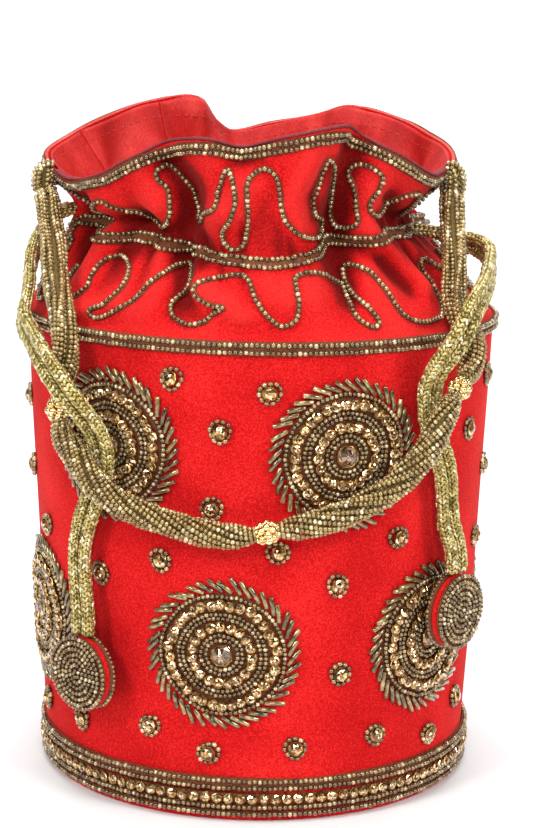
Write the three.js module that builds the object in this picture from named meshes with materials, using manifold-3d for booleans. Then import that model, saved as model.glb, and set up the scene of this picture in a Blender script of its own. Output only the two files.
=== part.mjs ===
// Drawstring potli bag: a stiff velvet drum with a gathered velvet top, bead embroidery,
// a beaded rope handle and two drawcords that end in beaded discs.
// Millimetres, +Z up. The front of the bag faces -Y and angles run from the front towards +X.
import * as THREE from 'three';
import { mergeVertices } from 'three/addons/utils/BufferGeometryUtils.js';
import Module from 'manifold-3d';

// The drum: velvet over stiff card, a little wider at the top, on a covered board.
const DRUM_TOP_RADIUS = 75;
const DRUM_BASE_RADIUS = 69;
const DRUM_HEIGHT = 149;
const DRUM_WALL = 2.4;
const BOARD_THICKNESS = 3;

// Two sewn or glued pieces sit this far apart.
const SEAM_GAP = 0.35;

// The gathered top and its satin lining.
const VELVET_THICKNESS = 1.2;
const LINING_THICKNESS = 0.8;
const NECK_RADIUS = 57;
const NECK_RISE = 29;
const RIM_RADIUS = 64;
const RIM_RISE = 56;
const DEEPEST_FOLD = 11;
const FOLD_DEPTH = 1;

// Places on the gathered top, from the drum seam at 0 over the neck to the rim at 1.
const NECK_BEADS_PLACE = 0.46;
const RIM_BEADS_PLACE = 0.955;
const LINING_THROAT_PLACE = 0.76;
const LINING_TOP_PLACE = 0.975;

// Bead embroidery.
const SEED_BEAD = 2;
const CHAIN_STONE = 3.4;
const MEDALLION_RADIUS = 24;
const MEDALLION_HEIGHT = 3;
const UPPER_MEDALLION_LEVEL = 0.775;
const LOWER_MEDALLION_LEVEL = 0.362;
const BUTTI_RADIUS = 3.8;
const BUTTI_HEIGHT = 2.2;

// The cords and what hangs on them.
const HANDLE_DIAMETER = 8.5;
const HANDLE_WAIST = 4.2;
const HANDLE_SEWN = 4.4;
const HANDLE_SAG_DEPTH = 4;
const SPACER_LENGTH = 6.4;
const SPACER_WALL = 0.8;
const CORD_DIAMETER = 4.2;
const TASSEL_DIAMETER = 24;
const TASSEL_CORE = 2.6;

// Facets.
const DRUM_SIDES = 36;
const CLOTH_COLUMNS = 72;
const LINING_COLUMNS = 36;
const CLOTH_PLACES = [0, 0.16, 0.32, NECK_BEADS_PLACE, 0.58, 0.76, RIM_BEADS_PLACE, 1];

// Folds of the neck: angle, fold steps in or out, fold steps up or down.
const NECK_FOLDS = [
  [-95, 3, 1], [-82, 2, 2], [-68, -8, 1], [-56, 3, -1], [-43, -4, 0], [-31, 4, -1],
  [-21, -8, -2], [-11, 4, -3], [4, 5, -4], [14, 2, -2], [23, -8, 1], [31, 3, 2],
  [40, -3, 3], [50, -7, 2], [61, -10, 1], [74, -11, 1], [90, -10, 0], [106, -7, 1],
  [120, 4, 0], [135, -7, 1], [150, 4, 0], [165, -7, 1], [180, 4, 0], [195, -7, 1],
  [210, 4, 0], [225, -7, 1], [240, 3, 0], [252, -6, 1],
];

// Wave of the open rim: angle, fold steps in or out, fold steps up or down.
const RIM_WAVE = [
  [-88, 6, -8], [-72, 1, -14], [-50, 1, -11], [-38, 0, -5], [-29, -3, 0], [-15, 1, 2],
  [-6, -4, 0], [5, 1, 3], [22, 0, 6], [30, -5, 3], [38, 0, -2], [52, 0, -9],
  [66, -4, -10], [88, -3, -7], [115, -2, -2], [130, -2, 2], [150, -4, 6], [165, -1, 2],
  [178, 2, -1], [190, 3, -4], [197, -2, 0], [205, -6, 8], [220, -4, 7], [236, -2, 3],
  [255, 2, -3],
];

// Turns of the two bead meanders: angle and the place between drum seam and rim.
const UPPER_MEANDER = [
  [-70, 0.8], [-52, 0.58], [-31, 0.84], [-20, 0.58], [-11, 0.84], [-7, 0.54], [1, 0.83],
  [13, 0.56], [20, 0.84], [25, 0.56], [32, 0.83], [42, 0.58], [54, 0.84], [66, 0.6],
  [77, 0.84], [102, 0.84], [108, 0.6], [122, 0.84], [136, 0.6], [150, 0.84], [164, 0.6],
  [178, 0.84], [192, 0.6], [206, 0.84], [220, 0.6], [234, 0.84], [248, 0.6], [262, 0.84],
];
const LOWER_MEANDER = [
  [-62, 0.1], [-50, 0.38], [-42, 0.13], [-24, 0.36], [-18, 0.1], [-5, 0.35], [4, 0.09],
  [11, 0.35], [25, 0.09], [27, 0.37], [48, 0.1], [54, 0.37], [72, 0.1], [84, 0.36],
  [97, 0.1], [110, 0.36], [124, 0.1], [138, 0.36], [152, 0.1], [166, 0.36], [180, 0.1],
  [194, 0.36], [208, 0.1], [222, 0.36], [236, 0.1], [250, 0.36], [264, 0.1], [280, 0.36],
];

// The embroidered panels: the back one is the front one turned half round. Medallions stand in an
// upper and a lower row, and small motifs lie between them: angle and share of the drum's height.
const PANELS = [0, 180];
const UPPER_MEDALLIONS = [-36.7, 20.7];
const LOWER_MEDALLIONS = [-71, -7.8, 48.4];
const BUTTI = [
  [-80, 0.817], [-80, 0.664], [-66, 0.556], [-71, 0.152], [-50, 0.165], [-41, 0.5], [-27, 0.188],
  [-23.5, 0.549], [-20, 0.925], [-11, 0.147], [-10.5, 0.67], [-9, 0.83], [2.5, 0.906], [5, 0.581],
  [10.5, 0.162], [20, 0.506], [22, 0.312], [32, 0.168], [36.5, 0.592], [51.5, 0.14], [61.5, 0.789],
  [66, 0.19], [73, 0.892], [74, 0.534], [78, 0.688],
];

// Routes: angle, level and layer. Level 0 to 1 is the drum's foot to its seam and 1 to 2 the seam
// to the rim. Layer 0 lies on the embroidery and layer 1 lies over another cord.
const HANDLE_LEFT_ANGLE = -80;
const HANDLE_RIGHT_ANGLE = 74;
const HANDLE_ROUTE = [
  [-71, 1.745, 0], [-66.5, 1.605, 0], [-61, 1.48, 0], [-57, 1.345, 0], [-52.5, 1.225, 0], [-48, 1.105, 0],
  [-44.5, 0.995, 0], [-44.2, 0.953, 0], [-44.9, 0.91, 0.1], [-46.3, 0.876, 0.17], [-46.8, 0.843, 0.22],
  [-45.6, 0.805, 0.4], [-40.1, 0.77, 0.85], [-32.8, 0.709, 1.2], [-26.6, 0.668, 0.6], [-20.7, 0.648, 0],
  [-12, 0.63, 0], [-4.5, 0.624, 0], [2.2, 0.634, 0], [9, 0.646, 0], [15.5, 0.658, 0], [24, 0.689, 0.1],
  [30.7, 0.739, 0.8], [35.6, 0.803, 1.1], [39, 0.866, 1.15], [44, 0.907, 0.7], [50.5, 0.942, 0],
  [51.2, 0.975, 0], [50, 1.03, 0], [50.3, 1.14, 0], [52, 1.255, 0], [56, 1.38, 0], [59.5, 1.505, 0],
  [63.5, 1.655, 0], [67.5, 1.795, 0],
];
const SPACER_POINTS = [10, 18, 25];
const LEFT_CORD_ROUTE = [
  [-84, 1.42, -0.9], [-76, 1.27, -0.6], [-68, 1.127, -0.3], [-65, 1.023, 0.05], [-56, 0.979, 0.3],
  [-46.3, 0.953, 0.95], [-41, 0.915, 1.15], [-38.1, 0.876, 1], [-37, 0.826, 0.3], [-35.8, 0.775, 0],
  [-35.8, 0.734, 0], [-38, 0.685, 0], [-41, 0.628, 0], [-43.2, 0.569, 0], [-43.8, 0.506, 0],
];
const RIGHT_CORD_ROUTE = [
  [80, 1.455, -1], [67, 1.35, -0.5], [51.6, 1.277, 0.4], [42.6, 1.183, 1.1], [40, 1.057, 1.15],
  [38.8, 0.966, 0.6], [38.8, 0.916, 0.05], [39.4, 0.878, 0], [40, 0.841, 0], [42.2, 0.791, 0],
  [45.4, 0.739, 0], [47.1, 0.675, 0], [48.4, 0.6, 0],
];
const LEFT_SLIT_ANGLE = -88;
const RIGHT_SLIT_ANGLE = 88;
const LEFT_TASSEL = { angle: -42, level: 0.292 };
const RIGHT_TASSEL = { angle: 50.8, level: 0.423 };

// Colours of the cloth, beads and cords.
const COLOURS = {
  velvet: [0xc8101a, 0.95, 0],
  satin: [0xd83030, 0.45, 0],
  seed: [0x6b5a33, 0.3, 0.4],
  stone: [0xa9793a, 0.15, 0.5],
  strands: [0x7d6d3c, 0.3, 0.4],
  cord: [0xc9b96a, 0.5, 0.4],
  gold: [0xd9b45a, 0.25, 1],
};

const wasm = await Module();
wasm.setup();
const bag = new THREE.Group();
bag.name = 'potli_bag';

function material(kind) {
  const [color, roughness, metalness] = COLOURS[kind];
  return new THREE.MeshStandardMaterial({ color, roughness, metalness });
}

function place(name, geometry, kind) {
  const mesh = new THREE.Mesh(geometry, material(kind));
  mesh.name = name;
  bag.add(mesh);
  return mesh;
}

const radians = (degrees) => THREE.MathUtils.degToRad(degrees);
const mix = (a, b, t) => a + (b - a) * t;

// A point at an angle from the front, a radius and a height.
function polar(degrees, radius, z) {
  const turn = radians(degrees);
  return new THREE.Vector3(radius * Math.sin(turn), -radius * Math.cos(turn), z);
}

// The drum's outside radius at a height, and straight up above its seam.
function drumRadius(z) {
  const share = THREE.MathUtils.clamp(z / DRUM_HEIGHT, 0, 1);
  return mix(DRUM_BASE_RADIUS, DRUM_TOP_RADIUS, share);
}

function signedVolume(points, triangles) {
  let volume = 0;
  for (let i = 0; i < triangles.length; i += 3) {
    const [a, b, c] = [0, 1, 2].map((k) => points[triangles[i + k]]);
    volume += a.dot(new THREE.Vector3().crossVectors(b, c)) / 6;
  }
  return volume;
}

function solidFrom(points, triangles) {
  const facing = signedVolume(points, triangles) < 0 ? triangles.slice().reverse() : triangles;
  const geometry = new THREE.BufferGeometry();
  const places = points.flatMap((p) => p.toArray());
  geometry.setAttribute('position', new THREE.Float32BufferAttribute(places, 3));
  geometry.setIndex(facing);
  geometry.computeVertexNormals();
  return geometry;
}

// Skins a row of rings with equal counts. A looped row closes on its first ring; otherwise each
// end closes on a given point or on the end ring's middle.
function skin(rings, looped, tips = []) {
  const count = rings[0].length;
  const points = rings.flat();
  const triangles = [];
  const spans = looped ? rings.length : rings.length - 1;
  for (let j = 0; j < spans; j += 1) {
    const low = j * count;
    const high = ((j + 1) % rings.length) * count;
    for (let i = 0; i < count; i += 1) {
      const next = (i + 1) % count;
      triangles.push(low + i, low + next, high + next, low + i, high + next, high + i);
    }
  }
  if (!looped) {
    [0, rings.length - 1].forEach((ring, end) => {
      const middle = points.length;
      const sum = rings[ring].reduce((total, p) => total.add(p), new THREE.Vector3());
      points.push(tips[end] ?? sum.divideScalar(count));
      for (let i = 0; i < count; i += 1) {
        const pair = [ring * count + i, ring * count + ((i + 1) % count)];
        triangles.push(...(end === 0 ? pair.reverse() : pair), middle);
      }
    });
  }
  return solidFrom(points, triangles);
}

function toManifold(geometry) {
  const plain = geometry.clone();
  plain.deleteAttribute('normal');
  plain.deleteAttribute('uv');
  const merged = mergeVertices(plain, 1e-4);
  const mesh = new wasm.Mesh({
    numProp: 3,
    vertProperties: new Float32Array(merged.attributes.position.array),
    triVerts: new Uint32Array(merged.index.array),
  });
  return new wasm.Manifold(mesh);
}

function toGeometry(manifold) {
  const mesh = manifold.getMesh();
  const geometry = new THREE.BufferGeometry();
  const places = new Float32Array(mesh.vertProperties);
  geometry.setAttribute('position', new THREE.BufferAttribute(places, 3));
  geometry.setIndex(new THREE.BufferAttribute(new Uint32Array(mesh.triVerts), 1));
  geometry.computeVertexNormals();
  return geometry;
}

// A level circle with the drum's sides.
function hoop(radius, z) {
  return Array.from({ length: DRUM_SIDES }, (_, i) => polar((360 * i) / DRUM_SIDES, radius, z));
}

// A smooth closed curve through rows of [angle, a, b], with a and b in fold steps.
function aroundCurve(list) {
  const at = (i) => {
    const wrapped = ((i % list.length) + list.length) % list.length;
    const [angle, ...values] = list[wrapped];
    return [angle + 360 * Math.floor(i / list.length), ...values];
  };
  return (degrees) => {
    const start = list[0][0];
    const angle = start + ((((degrees - start) % 360) + 360) % 360);
    let i = 0;
    while (at(i + 1)[0] <= angle) i += 1;
    const [p0, p1, p2, p3] = [at(i - 1), at(i), at(i + 1), at(i + 2)];
    const span = p2[0] - p1[0];
    const t = (angle - p1[0]) / span;
    return [1, 2].map((k) => {
      const slope1 = ((p2[k] - p0[k]) / (p2[0] - p0[0])) * span;
      const slope2 = ((p3[k] - p1[k]) / (p3[0] - p1[0])) * span;
      const steps = (2 * t ** 3 - 3 * t ** 2 + 1) * p1[k] + (t ** 3 - 2 * t ** 2 + t) * slope1
        + (3 * t ** 2 - 2 * t ** 3) * p2[k] + (t ** 3 - t ** 2) * slope2;
      return steps * FOLD_DEPTH;
    });
  };
}

const neckFold = aroundCurve(NECK_FOLDS);
const rimWave = aroundCurve(RIM_WAVE);
const SEAM_Z = DRUM_HEIGHT + SEAM_GAP;

// The velvet top's smooth outer face: place 0 is the drum seam, 0.5 the neck and 1 the rim.
function smoothVelvet(degrees, place01) {
  const [foldIn, foldUp] = neckFold(degrees);
  const [waveIn, waveUp] = rimWave(degrees);
  const neck = [NECK_RADIUS + foldIn, DRUM_HEIGHT + NECK_RISE + foldUp];
  const rim = [RIM_RADIUS + waveIn, DRUM_HEIGHT + RIM_RISE + waveUp];
  const shoulder = [mix(DRUM_TOP_RADIUS, neck[0], 0.4), mix(SEAM_Z, neck[1], 0.42)];
  const throat = [mix(neck[0], rim[0], 0.42), mix(neck[1], rim[1], 0.48)];
  const knots = [[DRUM_TOP_RADIUS, SEAM_Z], shoulder, neck, throat, rim];
  const spot = THREE.MathUtils.clamp(place01, 0, 1) * 4;
  const i = Math.min(Math.floor(spot), 3);
  const t = spot - i;
  const [p0, p1, p2, p3] = [i - 1, i, i + 1, i + 2].map((k) => knots[THREE.MathUtils.clamp(k, 0, 4)]);
  const [radius, z] = [0, 1].map((k) => 0.5 * (2 * p1[k] + (p2[k] - p0[k]) * t
    + (2 * p0[k] - 5 * p1[k] + 4 * p2[k] - p3[k]) * t ** 2
    + (3 * p1[k] - p0[k] - 3 * p2[k] + p3[k]) * t ** 3));
  return polar(degrees, radius, z);
}

// The same face as it is faceted, so that what is sewn on lies on the facets.
function velvetPoint(degrees, place01) {
  const step = 360 / CLOTH_COLUMNS;
  const column = Math.floor(degrees / step);
  const across = degrees / step - column;
  const spot = THREE.MathUtils.clamp(place01, 0, 1);
  const above = Math.max(CLOTH_PLACES.findIndex((p) => p >= spot), 1);
  const [low, high] = [CLOTH_PLACES[above - 1], CLOTH_PLACES[above]];
  const up = (spot - low) / (high - low);
  const edge = (side) => smoothVelvet(side * step, low).lerp(smoothVelvet(side * step, high), up);
  return edge(column).lerp(edge(column + 1), across);
}

// The velvet's outward direction and a point raised off its outer face.
function velvetNormal(degrees, place01) {
  const reach = 0.03;
  const around = smoothVelvet(degrees + 2, place01).sub(smoothVelvet(degrees - 2, place01));
  const upward = smoothVelvet(degrees, place01 + reach).sub(smoothVelvet(degrees, place01 - reach));
  return around.cross(upward).normalize();
}

function raised(degrees, place01, height) {
  return velvetPoint(degrees, place01).addScaledVector(velvetNormal(degrees, place01), height);
}

const clothAngles = Array.from({ length: CLOTH_COLUMNS }, (_, i) => (360 * i) / CLOTH_COLUMNS);

// The base board and the drum wall with the small motifs sewn to it.
function baseBoard() {
  const edge = BOARD_THICKNESS / 4;
  const rings = [
    hoop(DRUM_BASE_RADIUS - edge, 0),
    hoop(DRUM_BASE_RADIUS, edge),
    hoop(DRUM_BASE_RADIUS, BOARD_THICKNESS),
  ];
  return skin(rings, false);
}

// Where a flat shape's own u, v and height land on the drum.
function onDrum(degrees, z, u, v, height) {
  const turn = THREE.MathUtils.radToDeg(u / drumRadius(z));
  return polar(degrees + turn, drumRadius(z + v) + height, z + v);
}

function butti(degrees, z) {
  const foot = -DRUM_WALL / 3;
  const sides = 6;
  const ring = Array.from({ length: sides }, (_, i) => {
    const turn = (2 * Math.PI * i) / sides;
    return onDrum(degrees, z, BUTTI_RADIUS * Math.cos(turn), BUTTI_RADIUS * Math.sin(turn), foot);
  });
  return skin([ring], false, [onDrum(degrees, z, 0, 0, foot), onDrum(degrees, z, 0, 0, BUTTI_HEIGHT)]);
}

function drumWall() {
  const foot = BOARD_THICKNESS + SEAM_GAP;
  const rings = [
    hoop(drumRadius(foot), foot),
    hoop(DRUM_TOP_RADIUS, DRUM_HEIGHT),
    hoop(DRUM_TOP_RADIUS - DRUM_WALL, DRUM_HEIGHT),
    hoop(drumRadius(foot) - DRUM_WALL, foot),
  ];
  const motifs = PANELS.flatMap((turn) => BUTTI.map(
    ([angle, level]) => toManifold(butti(angle + turn, level * DRUM_HEIGHT)),
  ));
  return toGeometry(wasm.Manifold.union([toManifold(skin(rings, true)), ...motifs]));
}

place('base_board', baseBoard(), 'velvet');
place('drum_wall', drumWall(), 'velvet');

// The drawcords run in a channel inside the neck's deepest fold and leave by a slit at each side.
const CORD_RADIUS = CORD_DIAMETER / 2;
const CHANNEL_RADIUS = NECK_RADIUS - DEEPEST_FOLD - VELVET_THICKNESS * 1.4 - SEAM_GAP - CORD_RADIUS;
const CORD_PITCH = CORD_DIAMETER + SEAM_GAP * 1.5;
const CHANNEL_Z = DRUM_HEIGHT + NECK_RISE;
const SLIT_RADIUS = CORD_PITCH / 2 + CORD_RADIUS + SEAM_GAP * 4;

function slitCutter(degrees, z) {
  const length = NECK_RADIUS;
  const cutter = new THREE.CylinderGeometry(SLIT_RADIUS, SLIT_RADIUS, length, 12);
  cutter.rotateZ(Math.PI / 2);
  cutter.translate(CHANNEL_RADIUS + length / 2, 0, z);
  cutter.rotateZ(radians(degrees - 90));
  return toManifold(cutter);
}

const LEFT_CORD_Z = CHANNEL_Z + CORD_PITCH / 2;
const RIGHT_CORD_Z = CHANNEL_Z - CORD_PITCH / 2;

function velvetTop() {
  const inside = -VELVET_THICKNESS;
  const outer = CLOTH_PLACES.map((spot) => clothAngles.map((angle) => velvetPoint(angle, spot)));
  const inner = CLOTH_PLACES.map((spot) => clothAngles.map((angle) => raised(angle, spot, inside)));
  inner[0] = clothAngles.map((angle) => polar(angle, DRUM_TOP_RADIUS + inside, SEAM_Z));
  const sleeve = toManifold(skin([...outer, ...inner.reverse()], true));
  const cut = sleeve
    .subtract(slitCutter(LEFT_SLIT_ANGLE, LEFT_CORD_Z))
    .subtract(slitCutter(RIGHT_SLIT_ANGLE, RIGHT_CORD_Z));
  return toGeometry(cut);
}

// The lining is one sack: floor, drum side, neck inside the channel, and the rim's inner face, where
// it lies inside the nearest folds of the velvet.
function liningSack() {
  const sideInset = DRUM_WALL + SEAM_GAP;
  const floorZ = BOARD_THICKNESS + SEAM_GAP;
  const neckRadius = CHANNEL_RADIUS - CORD_RADIUS - SEAM_GAP * 3;
  const sideTop = [drumRadius(DRUM_HEIGHT) - sideInset, DRUM_HEIGHT - DRUM_WALL];
  const neckLow = [neckRadius, CHANNEL_Z - CORD_PITCH * 1.5];
  const neckHigh = [neckRadius, CHANNEL_Z + CORD_PITCH * 1.2];
  const knots = [
    [drumRadius(floorZ) - sideInset, floorZ],
    sideTop,
    [mix(sideTop[0], neckLow[0], 0.5), mix(sideTop[1], neckLow[1], 0.45)],
    neckLow,
    neckHigh,
  ];
  const step = 360 / LINING_COLUMNS;
  const angles = Array.from({ length: LINING_COLUMNS }, (_, i) => i * step);
  const nearest = (angle, spot, under) => {
    const near = [-step / 2, 0, step / 2].map((side) => raised(angle + side, spot, -under));
    return polar(angle, Math.min(...near.map((p) => Math.hypot(p.x, p.y))), near[1].z);
  };
  const skinRings = (inset) => {
    const rings = knots.map(([radius, z], k) => angles.map(
      (angle) => polar(angle, radius - inset, k === 0 ? z + inset : z),
    ));
    const under = VELVET_THICKNESS + SEAM_GAP * 2 + inset;
    for (const spot of [LINING_THROAT_PLACE, LINING_TOP_PLACE]) {
      rings.push(angles.map((angle) => nearest(angle, spot, under)));
    }
    return rings;
  };
  return skin([...skinRings(0), ...skinRings(LINING_THICKNESS).reverse()], false);
}

place('velvet_top', velvetTop(), 'velvet');
place('satin_lining', liningSack(), 'satin');

// A strip of bead rows that follows the velvet at one place between seam and rim. With a slit at
// both its ends it is open, otherwise it runs all the way round.
const STRIP_HALF = SEED_BEAD * 1.15;

function clothStrip(place01, angles, open) {
  const bottom = SEAM_GAP * 2;
  const top = bottom + SEED_BEAD;
  const half = STRIP_HALF;
  const section = [[-half, bottom], [-half / 2, top], [half / 2, top], [half, bottom]];
  const length = RIM_RISE * 1.1;
  const around = section.map(([across, height]) => angles.map(
    (angle) => raised(angle, place01 + across / length, height),
  ));
  if (!open) return skin(around, true);
  return skin(angles.map((_, i) => around.map((line) => line[i])), false);
}

// Cloth columns between two slits, well clear of both.
function columnsBetween(from, to) {
  const margin = THREE.MathUtils.radToDeg((SLIT_RADIUS + SEED_BEAD) / NECK_RADIUS);
  const step = 360 / CLOTH_COLUMNS;
  const first = Math.ceil((from + margin) / step);
  const last = Math.floor((to - margin) / step);
  return Array.from({ length: last - first + 1 }, (_, i) => (first + i) * step);
}

// A strip of bead rows or stones round the drum, from one height to another.
function drumStrip(lowZ, highZ, height) {
  const seat = (z) => drumRadius(z) + SEAM_GAP;
  const quarter = (highZ - lowZ) / 4;
  return skin([
    hoop(seat(lowZ), lowZ),
    hoop(seat(lowZ) + height, lowZ + quarter),
    hoop(seat(highZ) + height, highZ - quarter),
    hoop(seat(highZ), highZ),
  ], true);
}

const PAIR_HEIGHT = 2 * STRIP_HALF;
const LOWER_PAIR_Z = SEED_BEAD * 0.6;
const CHAIN_Z = LOWER_PAIR_Z + PAIR_HEIGHT + SEAM_GAP;
const UPPER_PAIR_Z = CHAIN_Z + CHAIN_STONE + SEAM_GAP;
const SEAM_PAIR_Z = SEAM_Z - PAIR_HEIGHT + SEED_BEAD / 2;
const frontColumns = columnsBetween(LEFT_SLIT_ANGLE, RIGHT_SLIT_ANGLE);
const backColumns = columnsBetween(RIGHT_SLIT_ANGLE, LEFT_SLIT_ANGLE + 360);
place('rim_beads', clothStrip(RIM_BEADS_PLACE, clothAngles, false), 'seed');
place('neck_beads_front', clothStrip(NECK_BEADS_PLACE, frontColumns, true), 'seed');
place('neck_beads_back', clothStrip(NECK_BEADS_PLACE, backColumns, true), 'seed');
place('seam_beads', drumStrip(SEAM_PAIR_Z, SEAM_PAIR_Z + PAIR_HEIGHT, SEED_BEAD), 'seed');
place('base_beads_upper', drumStrip(UPPER_PAIR_Z, UPPER_PAIR_Z + PAIR_HEIGHT, SEED_BEAD), 'seed');
place('base_stone_chain', drumStrip(CHAIN_Z, CHAIN_Z + CHAIN_STONE, SEED_BEAD * 1.3), 'stone');
place('base_beads_lower', drumStrip(LOWER_PAIR_Z, LOWER_PAIR_Z + PAIR_HEIGHT, SEED_BEAD), 'seed');

// A place on the velvet, and how far the velvet swells above the straight run between two places.
const velvetAt = (spot) => velvetPoint(((spot.x % 360) + 360) % 360, spot.y);

function bridging(from, to) {
  const far = to.clone();
  while (far.x - from.x > 180) far.x -= 360;
  while (far.x - from.x < -180) far.x += 360;
  const swell = [0.25, 0.5, 0.75].map((share) => {
    const spot = from.clone().lerp(far, share);
    const run = velvetAt(from).lerp(velvetAt(far), share);
    return velvetAt(spot).sub(run).dot(velvetNormal(spot.x, spot.y));
  });
  return Math.max(0, ...swell);
}

// A bead meander couched on the velvet: round turns, alternately high and low.
function meander(turns) {
  const course = [];
  turns.forEach(([angle, spot], i) => {
    const before = turns[(i - 1 + turns.length) % turns.length];
    const after = turns[(i + 1) % turns.length];
    const rise = Math.sign(spot - before[1]) * 0.07;
    const gapBefore = (((angle - before[0]) % 360) + 360) % 360;
    const gapAfter = (((after[0] - angle) % 360) + 360) % 360;
    course.push(new THREE.Vector2(angle - Math.min(gapBefore * 0.38, 4.5), spot - rise));
    course.push(new THREE.Vector2(angle, spot));
    course.push(new THREE.Vector2(angle + Math.min(gapAfter * 0.38, 4.5), spot - rise));
  });
  const half = SEED_BEAD / 2;
  const clear = SEAM_GAP * 2.4;
  const section = [[-half, 0], [0, SEED_BEAD], [half, 0]];
  const rings = section.map(() => []);
  course.forEach((here, i) => {
    const before = course[(i - 1 + course.length) % course.length];
    const after = course[(i + 1) % course.length];
    const along = velvetAt(after).sub(velvetAt(before)).normalize();
    const normal = velvetNormal(here.x, here.y);
    const across = along.cross(normal).normalize();
    const stand = clear + Math.max(bridging(before, here), bridging(here, after));
    section.forEach(([side, height], k) => {
      const foot = velvetAt(here).addScaledVector(across, side);
      rings[k].push(foot.addScaledVector(normal, stand + height));
    });
  });
  return skin(rings, true);
}

place('upper_meander', meander(UPPER_MEANDER), 'seed');
place('lower_meander', meander(LOWER_MEANDER), 'seed');

// A medallion: slanted bugle beads round two rings of stones and a stone in the middle, which stand
// out between lower rows of seed beads.
function medallion(degrees, level) {
  const teeth = 8;
  const foot = SEAM_GAP * 1.6;
  const z = level * DRUM_HEIGHT;
  const rows = [
    [0.5, 0, 0], [1, 0, 1], [1, 0.4, 1], [0.8, 0.45, 0], [0.65, 0.9, 0], [0.52, 0.4, 0], [0.37, 0.9, 0],
    [0.23, 0.4, 0], [0.14, 1, 0],
  ];
  const rings = rows.map(([share, height, toothed]) => Array.from({ length: 2 * teeth }, (_, i) => {
    const notch = toothed && i % 2;
    const radius = MEDALLION_RADIUS * share * (notch ? 0.85 : 1);
    const turn = (Math.PI * (i + (toothed && !notch ? 0.7 : 0))) / teeth;
    const stand = foot + MEDALLION_HEIGHT * height;
    return onDrum(degrees, z, radius * Math.cos(turn), radius * Math.sin(turn), stand);
  }));
  const tips = [foot, foot + MEDALLION_HEIGHT].map((stand) => onDrum(degrees, z, 0, 0, stand));
  return skin(rings, false, tips);
}

function medallionRow(row, angles, level) {
  PANELS.flatMap((turn) => angles.map((angle) => angle + turn)).forEach((angle, i) => {
    place(`${row}_medallion_${i + 1}`, medallion(angle, level), 'stone');
  });
}

medallionRow('upper', UPPER_MEDALLIONS, UPPER_MEDALLION_LEVEL);
medallionRow('lower', LOWER_MEDALLIONS, LOWER_MEDALLION_LEVEL);

// Routes over the bag. A cord's middle clears the embroidery by its own radius; layer 1 also
// clears the other kind of cord.
const HANDLE_RADIUS = HANDLE_DIAMETER / 2;
const RIM_Z = DRUM_HEIGHT + RIM_RISE * 0.86;
const levelZ = (level) => (level <= 1 ? level * DRUM_HEIGHT : mix(DRUM_HEIGHT, RIM_Z, level - 1));
const embroidered = (z) => drumRadius(z) + MEDALLION_HEIGHT + SEAM_GAP * 2.6;

// Where a strand bundle is sewn to the rim: spread flat, outside its bead rows.
function rimAnchor(degrees) {
  return raised(degrees, RIM_BEADS_PLACE, SEAM_GAP * 4 + SEED_BEAD + HANDLE_SEWN / 2);
}

// Between rim and drum the bundle hangs in by its sag.
function handlePoints() {
  const ends = [rimAnchor(HANDLE_LEFT_ANGLE), rimAnchor(HANDLE_RIGHT_ANGLE)];
  const middle = HANDLE_ROUTE.map(([angle, level, layer]) => {
    const z = levelZ(level);
    const lying = embroidered(z) + HANDLE_RADIUS + layer * (CORD_DIAMETER + SEAM_GAP * 2);
    const end = ends[angle < 0 ? 0 : 1];
    const share = THREE.MathUtils.clamp(level - 1, 0, 1);
    const hanging = mix(lying, Math.hypot(end.x, end.y), share);
    return polar(angle, hanging - 4 * HANDLE_SAG_DEPTH * share * (1 - share), z);
  });
  return [ends[0], ...middle, ends[1]];
}

const handleCurve = new THREE.CatmullRomCurve3(handlePoints());
const handleSpans = HANDLE_ROUTE.length + 1;
const spacerSpots = SPACER_POINTS.map((i) => (i + 1) / handleSpans);

// The strands draw together where they pass a spacer bead and spread where they are sewn on.
function handle() {
  const round = [HANDLE_RADIUS, HANDLE_RADIUS];
  const drawn = [HANDLE_WAIST / 2, HANDLE_WAIST / 2];
  const spread = [HANDLE_SEWN / 2, HANDLE_DIAMETER * 0.7];
  const waist = SPACER_LENGTH * 0.7;
  const stations = [];
  for (let i = 0; i <= handleSpans; i += 1) {
    const spot = i / handleSpans;
    if (spacerSpots.includes(spot)) {
      const reach = handleCurve.getPoint(spot + 0.001).distanceTo(handleCurve.getPoint(spot - 0.001));
      const step = (waist * 0.002) / reach;
      stations.push([spot - step, drawn], [spot, drawn], [spot + step, drawn]);
    } else {
      stations.push([spot, i % handleSpans === 0 ? spread : round]);
    }
  }
  const sides = 8;
  const rings = stations.map(([spot, [deep, wide]]) => {
    const middle = handleCurve.getPoint(spot);
    const along = handleCurve.getTangent(spot);
    const across = along.cross(middle.clone().setZ(0)).normalize();
    const outward = across.clone().cross(handleCurve.getTangent(spot));
    return Array.from({ length: sides }, (_, k) => {
      const turn = (2 * Math.PI * k) / sides;
      return middle.clone()
        .addScaledVector(outward, deep * Math.cos(turn))
        .addScaledVector(across, wide * Math.sin(turn));
    });
  });
  return skin(rings, false);
}

function spacerBead(spot) {
  const bore = HANDLE_WAIST / 2 + SEAM_GAP * 2.3;
  const lip = bore + SPACER_WALL * 0.4;
  const belly = bore + SPACER_WALL;
  const half = SPACER_LENGTH / 2;
  const profile = [[bore, -half], [lip, -half], [belly, 0], [lip, half], [bore, half], [bore, -half]];
  const bead = new THREE.LatheGeometry(profile.map(([x, y]) => new THREE.Vector2(x, y)), 10);
  const axis = new THREE.Vector3(0, 1, 0);
  bead.applyQuaternion(new THREE.Quaternion().setFromUnitVectors(axis, handleCurve.getTangent(spot)));
  bead.translate(...handleCurve.getPoint(spot).toArray());
  return bead;
}

place('handle_strands', handle(), 'strands');
['left', 'middle', 'right'].forEach((side, i) => {
  place(`spacer_bead_${side}`, spacerBead(spacerSpots[i]), 'gold');
});

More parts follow.
